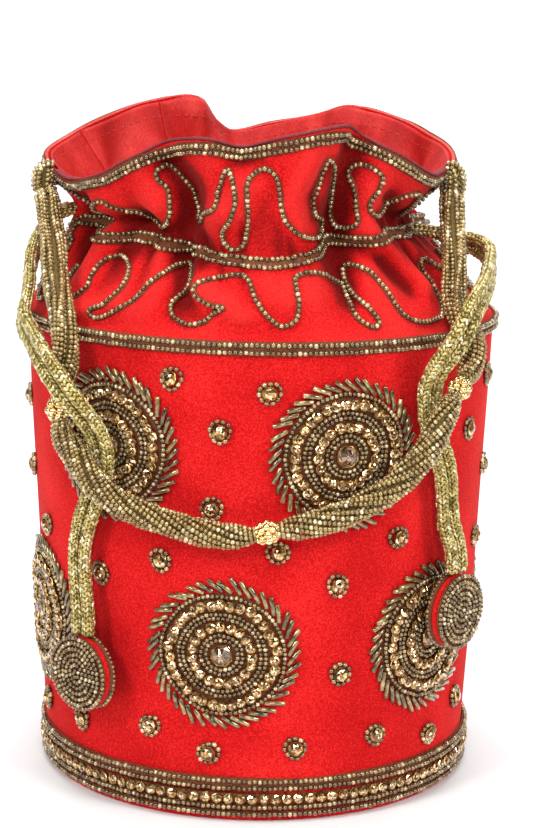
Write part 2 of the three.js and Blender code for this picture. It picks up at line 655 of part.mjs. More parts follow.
// A tassel is two beaded faces on a padded velvet core, lying flat against the embroidery.
const TASSEL_FACE = SEED_BEAD;
const TASSEL_THICKNESS = TASSEL_CORE + 2 * (TASSEL_FACE + SEAM_GAP);

function tasselPlace({ angle, level }) {
  const z = level * DRUM_HEIGHT;
  return polar(angle, embroidered(z + TASSEL_DIAMETER / 2) + TASSEL_THICKNESS / 2, z);
}

function tassel(side, spot) {
  const group = new THREE.Group();
  const radius = TASSEL_DIAMETER / 2;
  const face = [[0, 0], [radius, 0], [radius, 0.5], [radius * 0.8, 1], [radius * 0.3, 1], [0, 1.15]];
  const faceShape = face.map(([x, y]) => new THREE.Vector2(x, y * TASSEL_FACE));
  const coreRadius = radius - SEED_BEAD / 2;
  const coreShape = [[0, -1], [coreRadius, -1], [coreRadius, 1], [0, 1]];
  const core = coreShape.map(([x, y]) => new THREE.Vector2(x, (y * TASSEL_CORE) / 2));
  const parts = [
    ['core', core, 'velvet', 1, 0],
    ['front', faceShape, 'seed', 1, 1],
    ['back', faceShape, 'seed', -1, 1],
  ];
  for (const [part, shape, kind, facing, lifted] of parts) {
    const disc = new THREE.LatheGeometry(shape, 12);
    const mesh = new THREE.Mesh(disc, material(kind));
    mesh.name = `tassel_${side}_${part}`;
    mesh.rotation.x = facing < 0 ? Math.PI : 0;
    mesh.position.y = facing * lifted * (TASSEL_CORE / 2 + SEAM_GAP);
    group.add(mesh);
  }
  group.position.copy(tasselPlace(spot));
  group.quaternion.setFromUnitVectors(new THREE.Vector3(0, 1, 0), polar(spot.angle, 1, 0));
  bag.add(group);
}

tassel('left', LEFT_TASSEL);
tassel('right', RIGHT_TASSEL);

// One strand of a drawcord from its slit to its tassel; side is -1 or 1 across the pair.
function strandPoints(route, spot, side) {
  const over = HANDLE_DIAMETER + SEAM_GAP * 2;
  const middle = route.map(([angle, level, layer]) => {
    const z = levelZ(level);
    return polar(angle, embroidered(z) + CORD_RADIUS + layer * over, z);
  });
  const end = tasselPlace(spot);
  const top = TASSEL_DIAMETER / 2 + SEAM_GAP;
  middle.push(end.clone().setZ(end.z + top + CORD_DIAMETER * 2), end.clone().setZ(end.z + top));
  return middle.map((here, i) => {
    const before = middle[Math.max(i - 1, 0)];
    const after = middle[Math.min(i + 1, middle.length - 1)];
    const along = after.clone().sub(before).normalize();
    const outward = here.clone().setZ(0).normalize();
    const across = along.cross(outward).normalize();
    return here.clone().addScaledVector(across, (side * CORD_PITCH) / 2);
  });
}

// A whole drawcord: up one strand, round the channel and down the other strand.
function drawcord(slitAngle, z, route, spot) {
  const step = THREE.MathUtils.radToDeg(CORD_PITCH / 2 / NECK_RADIUS);
  const turning = 20;
  const first = strandPoints(route, spot, 1).reverse();
  const second = strandPoints(route, spot, -1);
  const wallRadius = NECK_RADIUS + neckFold(slitAngle)[0];
  const sense = Math.sign(-slitAngle);
  const through = (way) => [
    polar(slitAngle + way * step, wallRadius + CORD_DIAMETER, z),
    polar(slitAngle + way * step, wallRadius - CORD_DIAMETER, z),
  ];
  const ring = [];
  for (let i = 0; i <= 18; i += 1) {
    const share = i / 18;
    const swing = mix(turning, 360 - turning, share);
    ring.push(polar(slitAngle + sense * swing, CHANNEL_RADIUS, z));
  }
  const points = [...first, ...through(sense), ...ring, ...through(-sense).reverse(), ...second];
  const path = new THREE.CatmullRomCurve3(points);
  const shape = new THREE.Shape().absarc(0, 0, CORD_RADIUS, 0, Math.PI * 2);
  return new THREE.ExtrudeGeometry(shape, { steps: 60, extrudePath: path, curveSegments: 4 });
}

place('drawcord_left', drawcord(LEFT_SLIT_ANGLE, LEFT_CORD_Z, LEFT_CORD_ROUTE, LEFT_TASSEL), 'cord');
place('drawcord_right', drawcord(RIGHT_SLIT_ANGLE, RIGHT_CORD_Z, RIGHT_CORD_ROUTE, RIGHT_TASSEL), 'cord');

export default bag;
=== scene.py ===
"""Looks of the potli bag: velvet, satin, bead embroidery, bead rope handle and knitted drawcords."""
import math

import bpy
import numpy as np
from mathutils import Matrix, Vector


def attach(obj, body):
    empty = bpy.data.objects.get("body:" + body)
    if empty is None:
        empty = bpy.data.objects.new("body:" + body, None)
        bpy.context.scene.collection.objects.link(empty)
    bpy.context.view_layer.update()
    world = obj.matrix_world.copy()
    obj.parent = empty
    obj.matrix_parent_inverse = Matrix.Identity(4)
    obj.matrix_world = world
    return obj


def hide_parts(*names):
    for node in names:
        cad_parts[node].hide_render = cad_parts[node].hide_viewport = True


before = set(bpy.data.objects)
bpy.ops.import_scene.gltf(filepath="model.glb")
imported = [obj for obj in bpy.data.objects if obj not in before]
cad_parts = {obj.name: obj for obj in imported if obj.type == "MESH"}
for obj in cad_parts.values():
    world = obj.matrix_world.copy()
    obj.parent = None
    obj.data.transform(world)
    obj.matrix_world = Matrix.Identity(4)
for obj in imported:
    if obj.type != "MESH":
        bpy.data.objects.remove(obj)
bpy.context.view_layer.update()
MM = 0.001
RANDOM = np.random.default_rng(11)

# Camera at the photograph's angle, for an image of 533 by 828.
CAMERA_PLACE = (0.0023, -0.7033, 0.2537)
CAMERA_PITCH = 11.24
CAMERA_ROLL = 1.06
CAMERA_LENS = 95.1

# The drum and the gathered top, as in the frame.
DRUM_TOP_RADIUS = 75 * MM
DRUM_BASE_RADIUS = 69 * MM
DRUM_HEIGHT = 149 * MM
DRUM_WALL = 2.4 * MM
BOARD_THICKNESS = 3 * MM
SEAM_GAP = 0.35 * MM
SEAM_Z = DRUM_HEIGHT + SEAM_GAP
VELVET_THICKNESS = 1.2 * MM
LINING_THICKNESS = 0.8 * MM
NECK_RADIUS = 57 * MM
NECK_RISE = 29 * MM
RIM_RADIUS = 64 * MM
RIM_RISE = 56 * MM
DEEPEST_FOLD = 11 * MM

# The top's profile: how far the shoulder lies from seam to neck and the throat from neck to rim, in radius
# and height, and the share of the rim's rise at the sides.
SHOULDER = (0.4, 0.42)
THROAT = (0.42, 0.48)
SIDE_RIM = 0.86

# Gathers at the drawn neck: pleats round the bag and their depth in millimetres, coarse and fine.
PLEATS, PLEAT_DEPTH = 15, 1.5
FINE_PLEATS, FINE_PLEAT_DEPTH = 31, 0.5

# Beads, stones and cords.
SEED = 2 * MM
BEAD = 1.75 * MM
BEAD_PITCH = 1.56 * MM
FINE_BEAD = 1.62 * MM
FINE_PITCH = 1.44 * MM
CHAIN_STONE = 3.4 * MM
MEDALLION_HEIGHT = 3 * MM
CORD_DIAMETER = 4.2 * MM
CORD_RADIUS = CORD_DIAMETER / 2
CORD_PITCH = CORD_DIAMETER + SEAM_GAP * 1.5
CORD_EASE = 9 * MM
STITCH_COLUMNS = 10
STITCH_PITCH = 1.5 * MM
STITCH_SIZE = np.array([1.12, 2.35, 0.9]) * MM
TASSEL_RADIUS = 12 * MM
TASSEL_CORE = 2.6 * MM
TASSEL_THICKNESS = TASSEL_CORE + 2 * (SEED + SEAM_GAP)
VELVET_FOLDED = VELVET_THICKNESS * 1.4
CHANNEL_RADIUS = NECK_RADIUS - DEEPEST_FOLD - VELVET_FOLDED - SEAM_GAP - CORD_RADIUS
CHANNEL_Z = DRUM_HEIGHT + NECK_RISE

# The handle: beads in layers of strands, each with its share of the bundle's radius. It is twisted once
# in a lay, loose near its ends and tied at them, and its turns are eased except for a kept length at each
# end. A spacer bead draws the strands in for some way and leaves them out inside it.
HANDLE_DIAMETER = 8.5 * MM
HANDLE_STRANDS = ((12, 1.0), (5, 0.5))
HANDLE_LAY = 62 * MM
HANDLE_LOOSE = 60 * MM
HANDLE_TIED = 5 * MM
HANDLE_SAG = 4 * MM
HANDLE_EASE = 7 * MM
HANDLE_KEPT = 14 * MM
SPACER_PULL = 6.5 * MM
SPACER_HALF = 1.2 * MM

# Bead rows on the cloth, as places between drum seam and rim, and on the drum, as heights.
NECK_BEADS_PLACE = 0.46
RIM_BEADS_PLACE = 0.955
RIM_BEADS_BACK_RISE = 0.022
ROW_STEP = 0.0185
NECK_ARC = NECK_RADIUS * math.pi / 180
TOP_RUN = 62 * MM
SEAM_ROWS = (146.9 * MM, 149.2 * MM)
BASE_UPPER_ROWS = (11.1 * MM, 13.4 * MM)
BASE_LOWER_ROWS = (2.7 * MM, 5.0 * MM)
CHAIN_Z = 7.85 * MM
TAPE_HEIGHT = 0.5 * MM

# A small motif: its ring of beads and its stone.
BUTTI_RING = 3.15 * MM
BUTTI_STONE = 2.25 * MM
BUTTI_PITCH = 1.78 * MM

# A medallion, from its middle out in millimetres: the ground's radii and heights, the bead rings, and the
# stone rings with their counts. Bugle beads stand round it in a pinwheel.
GROUND_RINGS = ((19.5, -0.3), (19.3, 0.4), (14, 0.55), (8, 0.55), (3, 0.55))
BEAD_RINGS = (4.8, 6.3, 11.6, 13.1, 18.7)
STONE_RINGS = ((9.0, 19), (15.9, 34))
STONE_RADIUS = 1.66 * MM
BUGLE_COUNT = 44
BUGLE_LENGTH = 5.7 * MM
BUGLE_GIRTH = 1.5 * MM
BUGLE_SLANT = math.radians(57)
BUGLE_FOOT = 19.9 * MM

# Folds of the neck and wave of the rim: angle, millimetres in or out, millimetres up or down.
NECK_FOLDS = [
    [-95, 3, 1], [-82, 2, 2], [-68, -8, 1], [-56, 3, -1], [-43, -4, 0], [-31, 4, -1],
    [-21, -8, -2], [-11, 4, -3], [4, 5, -4], [14, 2, -2], [23, -8, 1], [31, 3, 2],
    [40, -3, 3], [50, -7, 2], [61, -10, 1], [74, -11, 1], [90, -10, 0], [106, -7, 1],
    [120, 4, 0], [135, -7, 1], [150, 4, 0], [165, -7, 1], [180, 4, 0], [195, -7, 1],
    [210, 4, 0], [225, -7, 1], [240, 3, 0], [252, -6, 1],
]
RIM_WAVE = [
    [-88, 6, -8], [-72, 1, -14], [-50, 1, -11], [-38, 0, -5], [-29, -3, 0], [-15, 1, 2],
    [-6, -4, 0], [5, 1, 3], [22, 0, 6], [30, -5, 3], [38, 0, -2], [52, 0, -9],
    [66, -4, -10], [88, -3, -7], [115, -2, -2], [130, -2, 2], [150, -4, 6], [165, -1, 2],
    [178, 2, -1], [190, 3, -4], [197, -2, 0], [205, -6, 8], [220, -4, 7], [236, -2, 3],
    [255, 2, -3],
]

# Soft folds and hollows across the gathers: height and half width in millimetres, and the line that
# each one follows in angle and place.
CREASES = [
    (5.6, 4.5, [(-5, 0.82), (-7.5, 0.72), (-15, 0.64), (-21, 0.54), (-20, 0.42), (-17, 0.33)]),
    (-5.4, 4.8, [(-28.5, 0.89), (-24.5, 0.78), (-24.5, 0.65), (-28, 0.52), (-27, 0.42)]),
    (-5.5, 5.5, [(-76, 0.56), (-51, 0.6), (-42.5, 0.58), (-33, 0.53)]),
    (-3.2, 3.5, [(-35.5, 0.47), (-33, 0.36), (-33, 0.24)]),
    (2.6, 3.0, [(-30, 0.42), (-28.5, 0.31)]),
    (-3.4, 3.0, [(-24, 0.45), (-19.5, 0.27)]),
    (2.8, 4.0, [(-52, 0.11), (-41.5, 0.19), (-30.5, 0.23)]),
    (3.0, 3.5, [(-15.5, 0.3), (-9, 0.27), (-4.5, 0.2)]),
    (2.4, 7.0, [(1, 0.38), (3, 0.34)]),
    (3.6, 3.5, [(13, 0.86), (9, 0.77), (8, 0.72), (11, 0.61)]),
    (-3.4, 3.5, [(17, 0.83), (14, 0.74), (15, 0.64)]),
    (-5.4, 5.0, [(27, 0.92), (27, 0.8), (27, 0.69), (27.5, 0.57), (27.5, 0.48)]),
    (4.0, 3.5, [(30.5, 0.52), (39.5, 0.43), (45, 0.36), (48.5, 0.28)]),
    (-3.4, 3.2, [(32, 0.42), (38, 0.33), (43.5, 0.26)]),
    (3.2, 4.0, [(58.5, 0.41), (64, 0.33), (61.5, 0.22)]),
    (-4.4, 5.0, [(45, 0.74), (52, 0.64), (56, 0.58)]),
    (-2.6, 3.0, [(25, 0.33), (24, 0.25)]),
    (2.4, 7.0, [(9.5, 0.38), (11.5, 0.34)]),
]

# The two bead meanders: angle and place between drum seam and rim.
UPPER_MEANDER = [
    [-98, 0.84], [-88, 0.86], [-78, 0.82], [-71, 0.68], [-66, 0.6], [-60, 0.7], [-53, 0.8], [-48, 0.7],
    [-45, 0.67], [-44, 0.6], [-40, 0.56], [-34.5, 0.55], [-30, 0.62], [-29, 0.71], [-29.5, 0.78],
    [-32, 0.83], [-32.5, 0.87], [-31, 0.89], [-28.5, 0.86], [-26.5, 0.82], [-24, 0.76], [-22.5, 0.68],
    [-21.5, 0.61], [-19, 0.61], [-16.5, 0.66], [-12.5, 0.7], [-11.5, 0.78], [-10.5, 0.85], [-9.5, 0.88],
    [-8, 0.85], [-6.8, 0.78], [-8, 0.68], [-10.5, 0.6], [-10.5, 0.55], [-7.5, 0.51], [-5, 0.54],
    [-4, 0.62], [-4, 0.76], [-4, 0.83], [-3, 0.86], [0.5, 0.88], [3.5, 0.84], [4.5, 0.78], [5.5, 0.69],
    [7, 0.64], [10.5, 0.58], [16, 0.53], [21, 0.53], [20, 0.58], [16, 0.63], [14.5, 0.7], [16, 0.76],
    [17.5, 0.83], [19, 0.86], [21.5, 0.83], [23, 0.75], [25, 0.65], [26, 0.56], [27, 0.52], [28.5, 0.52],
    [30, 0.55], [30.5, 0.62], [29.5, 0.76], [28.5, 0.81], [30, 0.85], [33, 0.86], [36, 0.83], [35, 0.74],
    [33.5, 0.68], [34, 0.6], [38, 0.56], [43, 0.6], [47, 0.72], [51, 0.83], [55, 0.84], [59, 0.78],
    [62, 0.67], [66, 0.6], [70, 0.68], [74, 0.82], [80, 0.85], [90, 0.85],
]
LOWER_MEANDER = [
    [-66, 0.3], [-60, 0.2], [-57, 0.13], [-54, 0.17], [-50.5, 0.24], [-51, 0.3], [-50, 0.36],
    [-47.5, 0.38], [-42, 0.36], [-38.5, 0.32], [-38, 0.25], [-40.5, 0.18], [-44.5, 0.14], [-44, 0.11],
    [-41.5, 0.1], [-38, 0.14], [-33.5, 0.2], [-30, 0.27], [-28.5, 0.33], [-26.5, 0.38], [-24, 0.39],
    [-21, 0.38], [-19, 0.33], [-21, 0.28], [-23, 0.23], [-23, 0.19], [-20.5, 0.14], [-16.5, 0.12],
    [-13, 0.15], [-11, 0.2], [-8.5, 0.24], [-11.5, 0.25], [-15, 0.29], [-16, 0.33], [-13.5, 0.36],
    [-10.5, 0.375], [-5.5, 0.4], [-3.5, 0.39], [-1.5, 0.31], [0.5, 0.23], [2.5, 0.18], [5, 0.14],
    [8, 0.17], [9, 0.24], [8.5, 0.34], [8.5, 0.39], [11, 0.4], [15.5, 0.38], [20.5, 0.32], [23.5, 0.29],
    [24, 0.24], [23.7, 0.17], [25, 0.13], [27.5, 0.1], [29, 0.12], [28, 0.18], [26, 0.24], [25, 0.31],
    [26.5, 0.37], [29.5, 0.35], [32, 0.29], [34, 0.22], [37, 0.14], [41.5, 0.1], [45.5, 0.1], [50, 0.12],
    [53, 0.18], [54, 0.25], [54.5, 0.32], [58, 0.36], [62, 0.33], [66, 0.2], [72, 0.1], [78, 0.14],
    [82, 0.28], [87, 0.36],
]
# Thin trim: the front neck rows go on down beside the left slit, as angle and place.
NECK_HOOK = [[-80, 0.46], [-81.6, 0.43], [-80.5, 0.37], [-78, 0.3], [-78, 0.23], [-80, 0.17]]
# The back's even loops: first and last angle, and the places that the loops run between.
BACK_LOOPS = 7
UPPER_BACK = (100, 255, 0.84, 0.6)
LOWER_BACK = (93, 286, 0.1, 0.36)

# The lining: angles of its seams, place of its row of stitches, and its share of the velvet's ridges.
LINING_SEAMS = (218, 252)
LINING_STITCHES = 0.905
LINING_RIDGES = 0.2

# The embroidered panels: the back one is the front one turned half round. Medallions stand in an
# upper and a lower row, and small motifs lie between them: angle and share of the drum's height.
PANELS = (0, 180)
MEDALLIONS = {"upper": (-36.7, 20.7), "lower": (-71, -7.8, 48.4)}
MEDALLION_LEVELS = {"upper": 0.775, "lower": 0.362}
BUTTI = [
    [-80, 0.817], [-80, 0.664], [-66, 0.556], [-71, 0.152], [-50, 0.165], [-41, 0.5], [-27, 0.188],
    [-23.5, 0.549], [-20, 0.925], [-11, 0.147], [-10.5, 0.67], [-9, 0.83], [2.5, 0.906], [5, 0.581],
    [10.5, 0.162], [20, 0.506], [22, 0.312], [32, 0.168], [36.5, 0.592], [51.5, 0.14], [61.5, 0.789],
    [66, 0.19], [73, 0.892], [74, 0.534], [78, 0.688],
]

# Routes of the cords: angle, level and layer, as in the frame. Level 0 to 1 is the drum's foot to
# its seam, 1 to 2 the seam to the rim; layer 0 lies on the embroidery, layer 1 over another cord.
HANDLE_ANGLES = (-80, 74)
HANDLE_ROUTE = [
    [-71, 1.745, 0], [-66.5, 1.605, 0], [-61, 1.48, 0], [-57, 1.345, 0], [-52.5, 1.225, 0],
    [-48, 1.105, 0], [-44.5, 0.995, 0], [-44.2, 0.953, 0], [-44.9, 0.91, 0.1], [-46.3, 0.876, 0.17],
    [-46.8, 0.843, 0.22], [-45.6, 0.805, 0.4], [-40.1, 0.77, 0.85], [-32.8, 0.709, 1.2],
    [-26.6, 0.668, 0.6], [-20.7, 0.648, 0], [-12, 0.63, 0], [-4.5, 0.624, 0], [2.2, 0.634, 0],
    [9, 0.646, 0], [15.5, 0.658, 0], [24, 0.689, 0.1], [30.7, 0.739, 0.8], [35.6, 0.803, 1.1],
    [39, 0.866, 1.15], [44, 0.907, 0.7], [50.5, 0.942, 0], [51.2, 0.975, 0], [50, 1.03, 0],
    [50.3, 1.14, 0], [52, 1.255, 0], [56, 1.38, 0], [59.5, 1.505, 0], [63.5, 1.655, 0], [67.5, 1.795, 0],
]
SPACER_POINTS = (10, 18, 25)
LEFT_CORD_ROUTE = [
    [-84, 1.42, -0.9], [-76, 1.27, -0.6], [-68, 1.127, -0.3], [-65, 1.023, 0.05], [-56, 0.979, 0.3],
    [-46.3, 0.953, 0.95], [-41, 0.915, 1.15], [-38.1, 0.876, 1], [-37, 0.826, 0.3], [-35.8, 0.775, 0],
    [-35.8, 0.734, 0], [-38, 0.685, 0], [-41, 0.628, 0], [-43.2, 0.569, 0], [-43.8, 0.506, 0],
]
RIGHT_CORD_ROUTE = [
    [80, 1.455, -1], [67, 1.35, -0.5], [51.6, 1.277, 0.4], [42.6, 1.183, 1.1], [40, 1.057, 1.15],
    [38.8, 0.966, 0.6], [38.8, 0.916, 0.05], [39.4, 0.878, 0], [40, 0.841, 0], [42.2, 0.791, 0],
    [45.4, 0.739, 0], [47.1, 0.675, 0], [48.4, 0.6, 0],
]
SLIT_ANGLES = {"left": -88, "right": 88}
TASSELS = {"left": (-42, 0.292), "right": (50.8, 0.423)}
CORD_ROUTES = {"left": LEFT_CORD_ROUTE, "right": RIGHT_CORD_ROUTE}
CORD_HEIGHTS = {"left": CHANNEL_Z + CORD_PITCH / 2, "right": CHANNEL_Z - CORD_PITCH / 2}


# Vector help

def mix(a, b, t):
    return a + (b - a) * t


def unit(vectors):
    return vectors / np.linalg.norm(vectors, axis=-1, keepdims=True)


def smoothstep(low, high, value):
    t = np.clip((value - low) / (high - low), 0, 1)
    return t * t * (3 - 2 * t)


def polar(degrees, radius, z):
    """Points at an angle from the front, a radius and a height."""
    turn = np.radians(degrees)
    return np.stack(np.broadcast_arrays(radius * np.sin(turn), -radius * np.cos(turn), z), -1)


def full_circle(count, whole=360):
    """Even angles once round."""
    return np.linspace(0, whole, count, endpoint=False)


def hermite(t, start, slope1, stop, slope2):
    """The way from start to stop that leaves and arrives with given slopes."""
    return ((2 * t**3 - 3 * t**2 + 1) * start + (t**3 - 2 * t**2 + t) * slope1
            + (3 * t**2 - 2 * t**3) * stop + (t**3 - t**2) * slope2)


def through(points, per_span=12):
    """A smooth line through points, the way a thread lies through its stitches."""
    points = np.asarray(points, float)
    points = np.vstack([2 * points[0] - points[1], points, 2 * points[-1] - points[-2]])
    t = np.linspace(0, 1, per_span, endpoint=False)[:, None]
    line = []
    for p0, p1, p2, p3 in zip(points, points[1:], points[2:], points[3:]):
        gaps = [max(np.linalg.norm(b - a), 1e-9) ** 0.5 for a, b in ((p0, p1), (p1, p2), (p2, p3))]
        before, here, after = gaps
        slope1 = ((p1 - p0) / before - (p2 - p0) / (before + here) + (p2 - p1) / here) * here
        slope2 = ((p2 - p1) / here - (p3 - p1) / (here + after) + (p3 - p2) / after) * here
        line.append(hermite(t, p1, slope1, p2, slope2))
    return np.vstack([*line, points[-2:-1]])


def lengths_along(points):
    """How far along the line each of its points lies."""
    return np.concatenate([[0], np.cumsum(np.linalg.norm(np.diff(points, axis=0), axis=1))])


def sample(points, at, along):
    """Points at given lengths along a line whose own lengths are known."""
    return np.stack([np.interp(at, along, points[:, k]) for k in range(points.shape[1])], -1)


# Surfaces of the bag

def around_curve(rows):
    """Smooth closed curves through rows of angle, a, b."""
    table = np.array(rows, float)
    full_turn = np.array([360.0, 0, 0])
    wide = np.vstack([table[-2:] - full_turn, table, table[:3] + full_turn])

    def at(degrees):
        angle = table[0, 0] + np.mod(np.asarray(degrees, float) - table[0, 0], 360)
        index = np.searchsorted(table[:, 0], angle, side="right") - 1
        p0, p1, p2, p3 = (wide[index + k] for k in (1, 2, 3, 4))
        span = (p2 - p1)[..., :1]
        t = (angle[..., None] - p1[..., :1]) / span
        slope1 = (p2 - p0)[..., 1:] / (p2 - p0)[..., :1] * span
        slope2 = (p3 - p1)[..., 1:] / (p3 - p1)[..., :1] * span
        return hermite(t, p1[..., 1:], slope1, p2[..., 1:], slope2) * MM
    return at


neck_fold = around_curve(NECK_FOLDS)
rim_wave = around_curve(RIM_WAVE)


def gathers(degrees, place):
    """Small pleats that start at the drawn neck and fade towards seam and rim."""
    turn = np.radians(degrees)
    wander = 1.4 * np.sin(5 * turn + 0.7) + 0.9 * np.sin(11 * turn + 2.1)
    pleat = np.abs(np.sin(PLEATS * turn + wander + 1.2 * (place - NECK_BEADS_PLACE))) ** 0.7 - 0.65
    fine = np.abs(np.sin(FINE_PLEATS * turn - 1.7 * wander)) ** 0.8 - 0.6
    reach = np.where(place < NECK_BEADS_PLACE, 0.17, 0.2)
    drawn = np.exp(-(((place - NECK_BEADS_PLACE) / reach) ** 2))
    return drawn * (PLEAT_DEPTH * pleat + FINE_PLEAT_DEPTH * fine) * MM


def creases(degrees, place, ridges):
    """Height of the soft folds across the gathers, alike on front and back, with a share of the ridges."""
    turned_front = np.mod(degrees + 90, 180) - 90
    spot = np.stack([turned_front * NECK_ARC, place * TOP_RUN], -1)
    total = np.zeros(spot.shape[:-1])
    for height, width, line in CREASES:
        knots = np.array(line) * [NECK_ARC, TOP_RUN]
        nearest = np.full(total.shape, np.inf)
        for start, stop in zip(knots, knots[1:]):
            run = stop - start
            share = np.clip((spot - start) @ run / (run @ run), 0, 1)
            nearest = np.minimum(nearest, np.linalg.norm(spot - start - share[..., None] * run, axis=-1))
        part = ridges if height > 0 else 1
        total += part * height * MM * np.exp(-((nearest / (width * MM)) ** 2))
    return total


def cloth(degrees, place, ridges=1.0):
    """The velvet top's outer face: place 0 is the drum seam, 0.5 the neck and 1 the rim."""
    degrees, place = np.broadcast_arrays(np.asarray(degrees, float), np.asarray(place, float))
    fold, wave = neck_fold(degrees), rim_wave(degrees)
    neck = np.stack([NECK_RADIUS + fold[..., 0], DRUM_HEIGHT + NECK_RISE + fold[..., 1]], -1)
    rim = np.stack([RIM_RADIUS + wave[..., 0], DRUM_HEIGHT + RIM_RISE + wave[..., 1]], -1)
    seam = np.zeros_like(neck) + [DRUM_TOP_RADIUS, SEAM_Z]
    shoulder = seam + (neck - seam) * SHOULDER
    throat = neck + (rim - neck) * THROAT
    knots = np.stack([seam, shoulder, neck, throat, rim])
    spot = np.clip(place, 0, 1) * 4
    index = np.minimum(np.floor(spot), 3).astype(int)
    t = (spot - index)[..., None]

    def knot(step):
        chosen = np.clip(index + step, 0, 4)
        return np.take_along_axis(knots, chosen[None, ..., None], 0)[0]

    p0, p1, p2, p3 = (knot(step) for step in (-1, 0, 1, 2))
    spot = 0.5 * (2 * p1 + (p2 - p0) * t + (2 * p0 - 5 * p1 + 4 * p2 - p3) * t**2
                  + (3 * p1 - p0 - 3 * p2 + p3) * t**3)
    radius = spot[..., 0] + gathers(degrees, place) + creases(degrees, place, ridges)
    radius = np.maximum(radius, CHANNEL_RADIUS + CORD_RADIUS + VELVET_FOLDED)
    return polar(degrees, radius, spot[..., 1])


def cloth_normal(degrees, place, ridges=1.0):
    """The outward direction of the velvet's outer face."""
    around = cloth(degrees + 0.6, place, ridges) - cloth(degrees - 0.6, place, ridges)
    above, below = np.minimum(place + 0.012, 1), np.maximum(place - 0.012, 0)
    upward = cloth(degrees, above, ridges) - cloth(degrees, below, ridges)
    return unit(np.cross(around, upward))


def raised(degrees, place, height, ridges=1.0):
    """Points at a height over the velvet's outer face."""
    degrees = np.asarray(degrees, float)
    return cloth(degrees, place, ridges) + cloth_normal(degrees, place, ridges) * height


def rim_edge(degrees, lift=0.0):
    """The middle of the velvet's edge at the rim."""
    return (cloth(degrees, 1.0) + raised(degrees, 1.0, -VELVET_THICKNESS)) / 2 + [0, 0, lift]


def drum_radius(z):
    return mix(DRUM_BASE_RADIUS, DRUM_TOP_RADIUS, np.clip(z / DRUM_HEIGHT, 0, 1))


def on_drum(degrees, z, u, v, height):
    """Where a flat shape's own u, v and height land on the drum."""
    turn = np.degrees(u / drum_radius(z))
    return polar(degrees + turn, drum_radius(z + v) + height, z + v)


def outward(points):
    """Level directions away from the bag's axis."""
    return unit(points * [1, 1, 0])


# Meshes

def grid_faces(rows, columns, wrapped_rows=False):
    """Quads of a grid whose columns run all the way round."""
    spans = rows if wrapped_rows else rows - 1
    row, column = np.meshgrid(np.arange(spans), np.arange(columns), indexing="ij")
    ahead, above = (column + 1) % columns, (row + 1) % rows
    quads = [row * columns + column, row * columns + ahead, above * columns + ahead, above * columns + column]
    return np.stack(quads, -1).reshape(-1, 4)


def cap_faces(start, columns, flipped):
    """Triangles that close a ring of points with a fan from its first point."""
    faces = np.array([(start, start + i, start + i + 1) for i in range(1, columns - 1)])
    return faces[:, ::-1] if flipped else faces


def tube_faces(rows, columns):
    """Faces of a tube of equal rings with both ends closed."""
    last = (rows - 1) * columns
    return [grid_faces(rows, columns), cap_faces(0, columns, True), cap_faces(last, columns, False)]


def rings_along(profile, sides):
    """Rings round the y axis: profile rows of place along it and radius; x right, y along, z up."""
    angle = 2 * np.pi * np.arange(sides) / sides
    around = np.stack([np.sin(angle), np.zeros(sides), np.cos(angle)], -1)
    return np.vstack([around * radius + [0, along, 0] for along, radius in profile])


def turned(profile, sides):
    """A small turned shape with flat ends."""
    return rings_along(profile, sides), [faces[:, ::-1] for faces in tube_faces(len(profile), sides)]


def rounded(profile, sides, half_length):
    """A small turned shape whose ends close in a point."""
    rings = rings_along(profile, sides)
    tips = [[0, -half_length, 0], [0, half_length, 0]]
    first, last = np.arange(sides), np.arange(sides) + len(rings) - sides
    low = np.stack([first, np.roll(first, -1), np.full(sides, len(rings))], -1)
    high = np.stack([np.roll(last, -1), last, np.full(sides, len(rings) + 1)], -1)
    return np.vstack([rings, tips]), [grid_faces(len(profile), sides)[:, ::-1], low, high]


def split_faces(points, face_sets):
    """Gives every facet its own corners, so that each one catches the light by itself and takes its own
    painted brightness, dark to glinting.
    """
    corners, faces, count = [], [], 0
    for face_set in face_sets:
        corners.append(points[face_set].reshape(-1, 3))
        faces.append(np.arange(count, count + face_set.size).reshape(face_set.shape))
        count += face_set.size
    return np.vstack(corners), faces


def level_ring(sides, height, radius, turn):
    """A level ring of points round the z axis, turned by a share of a side."""
    angle = 2 * np.pi * (np.arange(sides) + turn) / sides
    return np.stack([radius * np.cos(angle), radius * np.sin(angle), np.full(sides, height)], -1)


def cut_stone(profile, sides=8):
    """A faceted stone of radius 1 from rings of height, radius and turn up to a point; z is up."""
    rings = [level_ring(sides, *ring) for ring in profile]
    top = len(rings) * sides
    points = np.vstack([*rings, [[0, 0, profile[-1][0] + 0.04]]])
    quads = grid_faces(len(rings), sides)
    last = np.arange(top - sides, top)
    tip = np.stack([last, np.roll(last, -1), np.full(sides, top)], -1)
    return split_faces(points, [quads[:, [0, 1, 2]], quads[:, [0, 2, 3]], tip])


def stone_cup(sides=8):
    """The metal cup round a stone of radius 1."""
    profile = ((0, 1.0), (0.4, 1.12), (0.55, 1.06), (0.45, 0.96), (0, 0.93))
    rings = [level_ring(sides, height, radius, 0.5) for height, radius in profile]
    return np.vstack(rings), [grid_faces(len(rings), sides, wrapped_rows=True)]


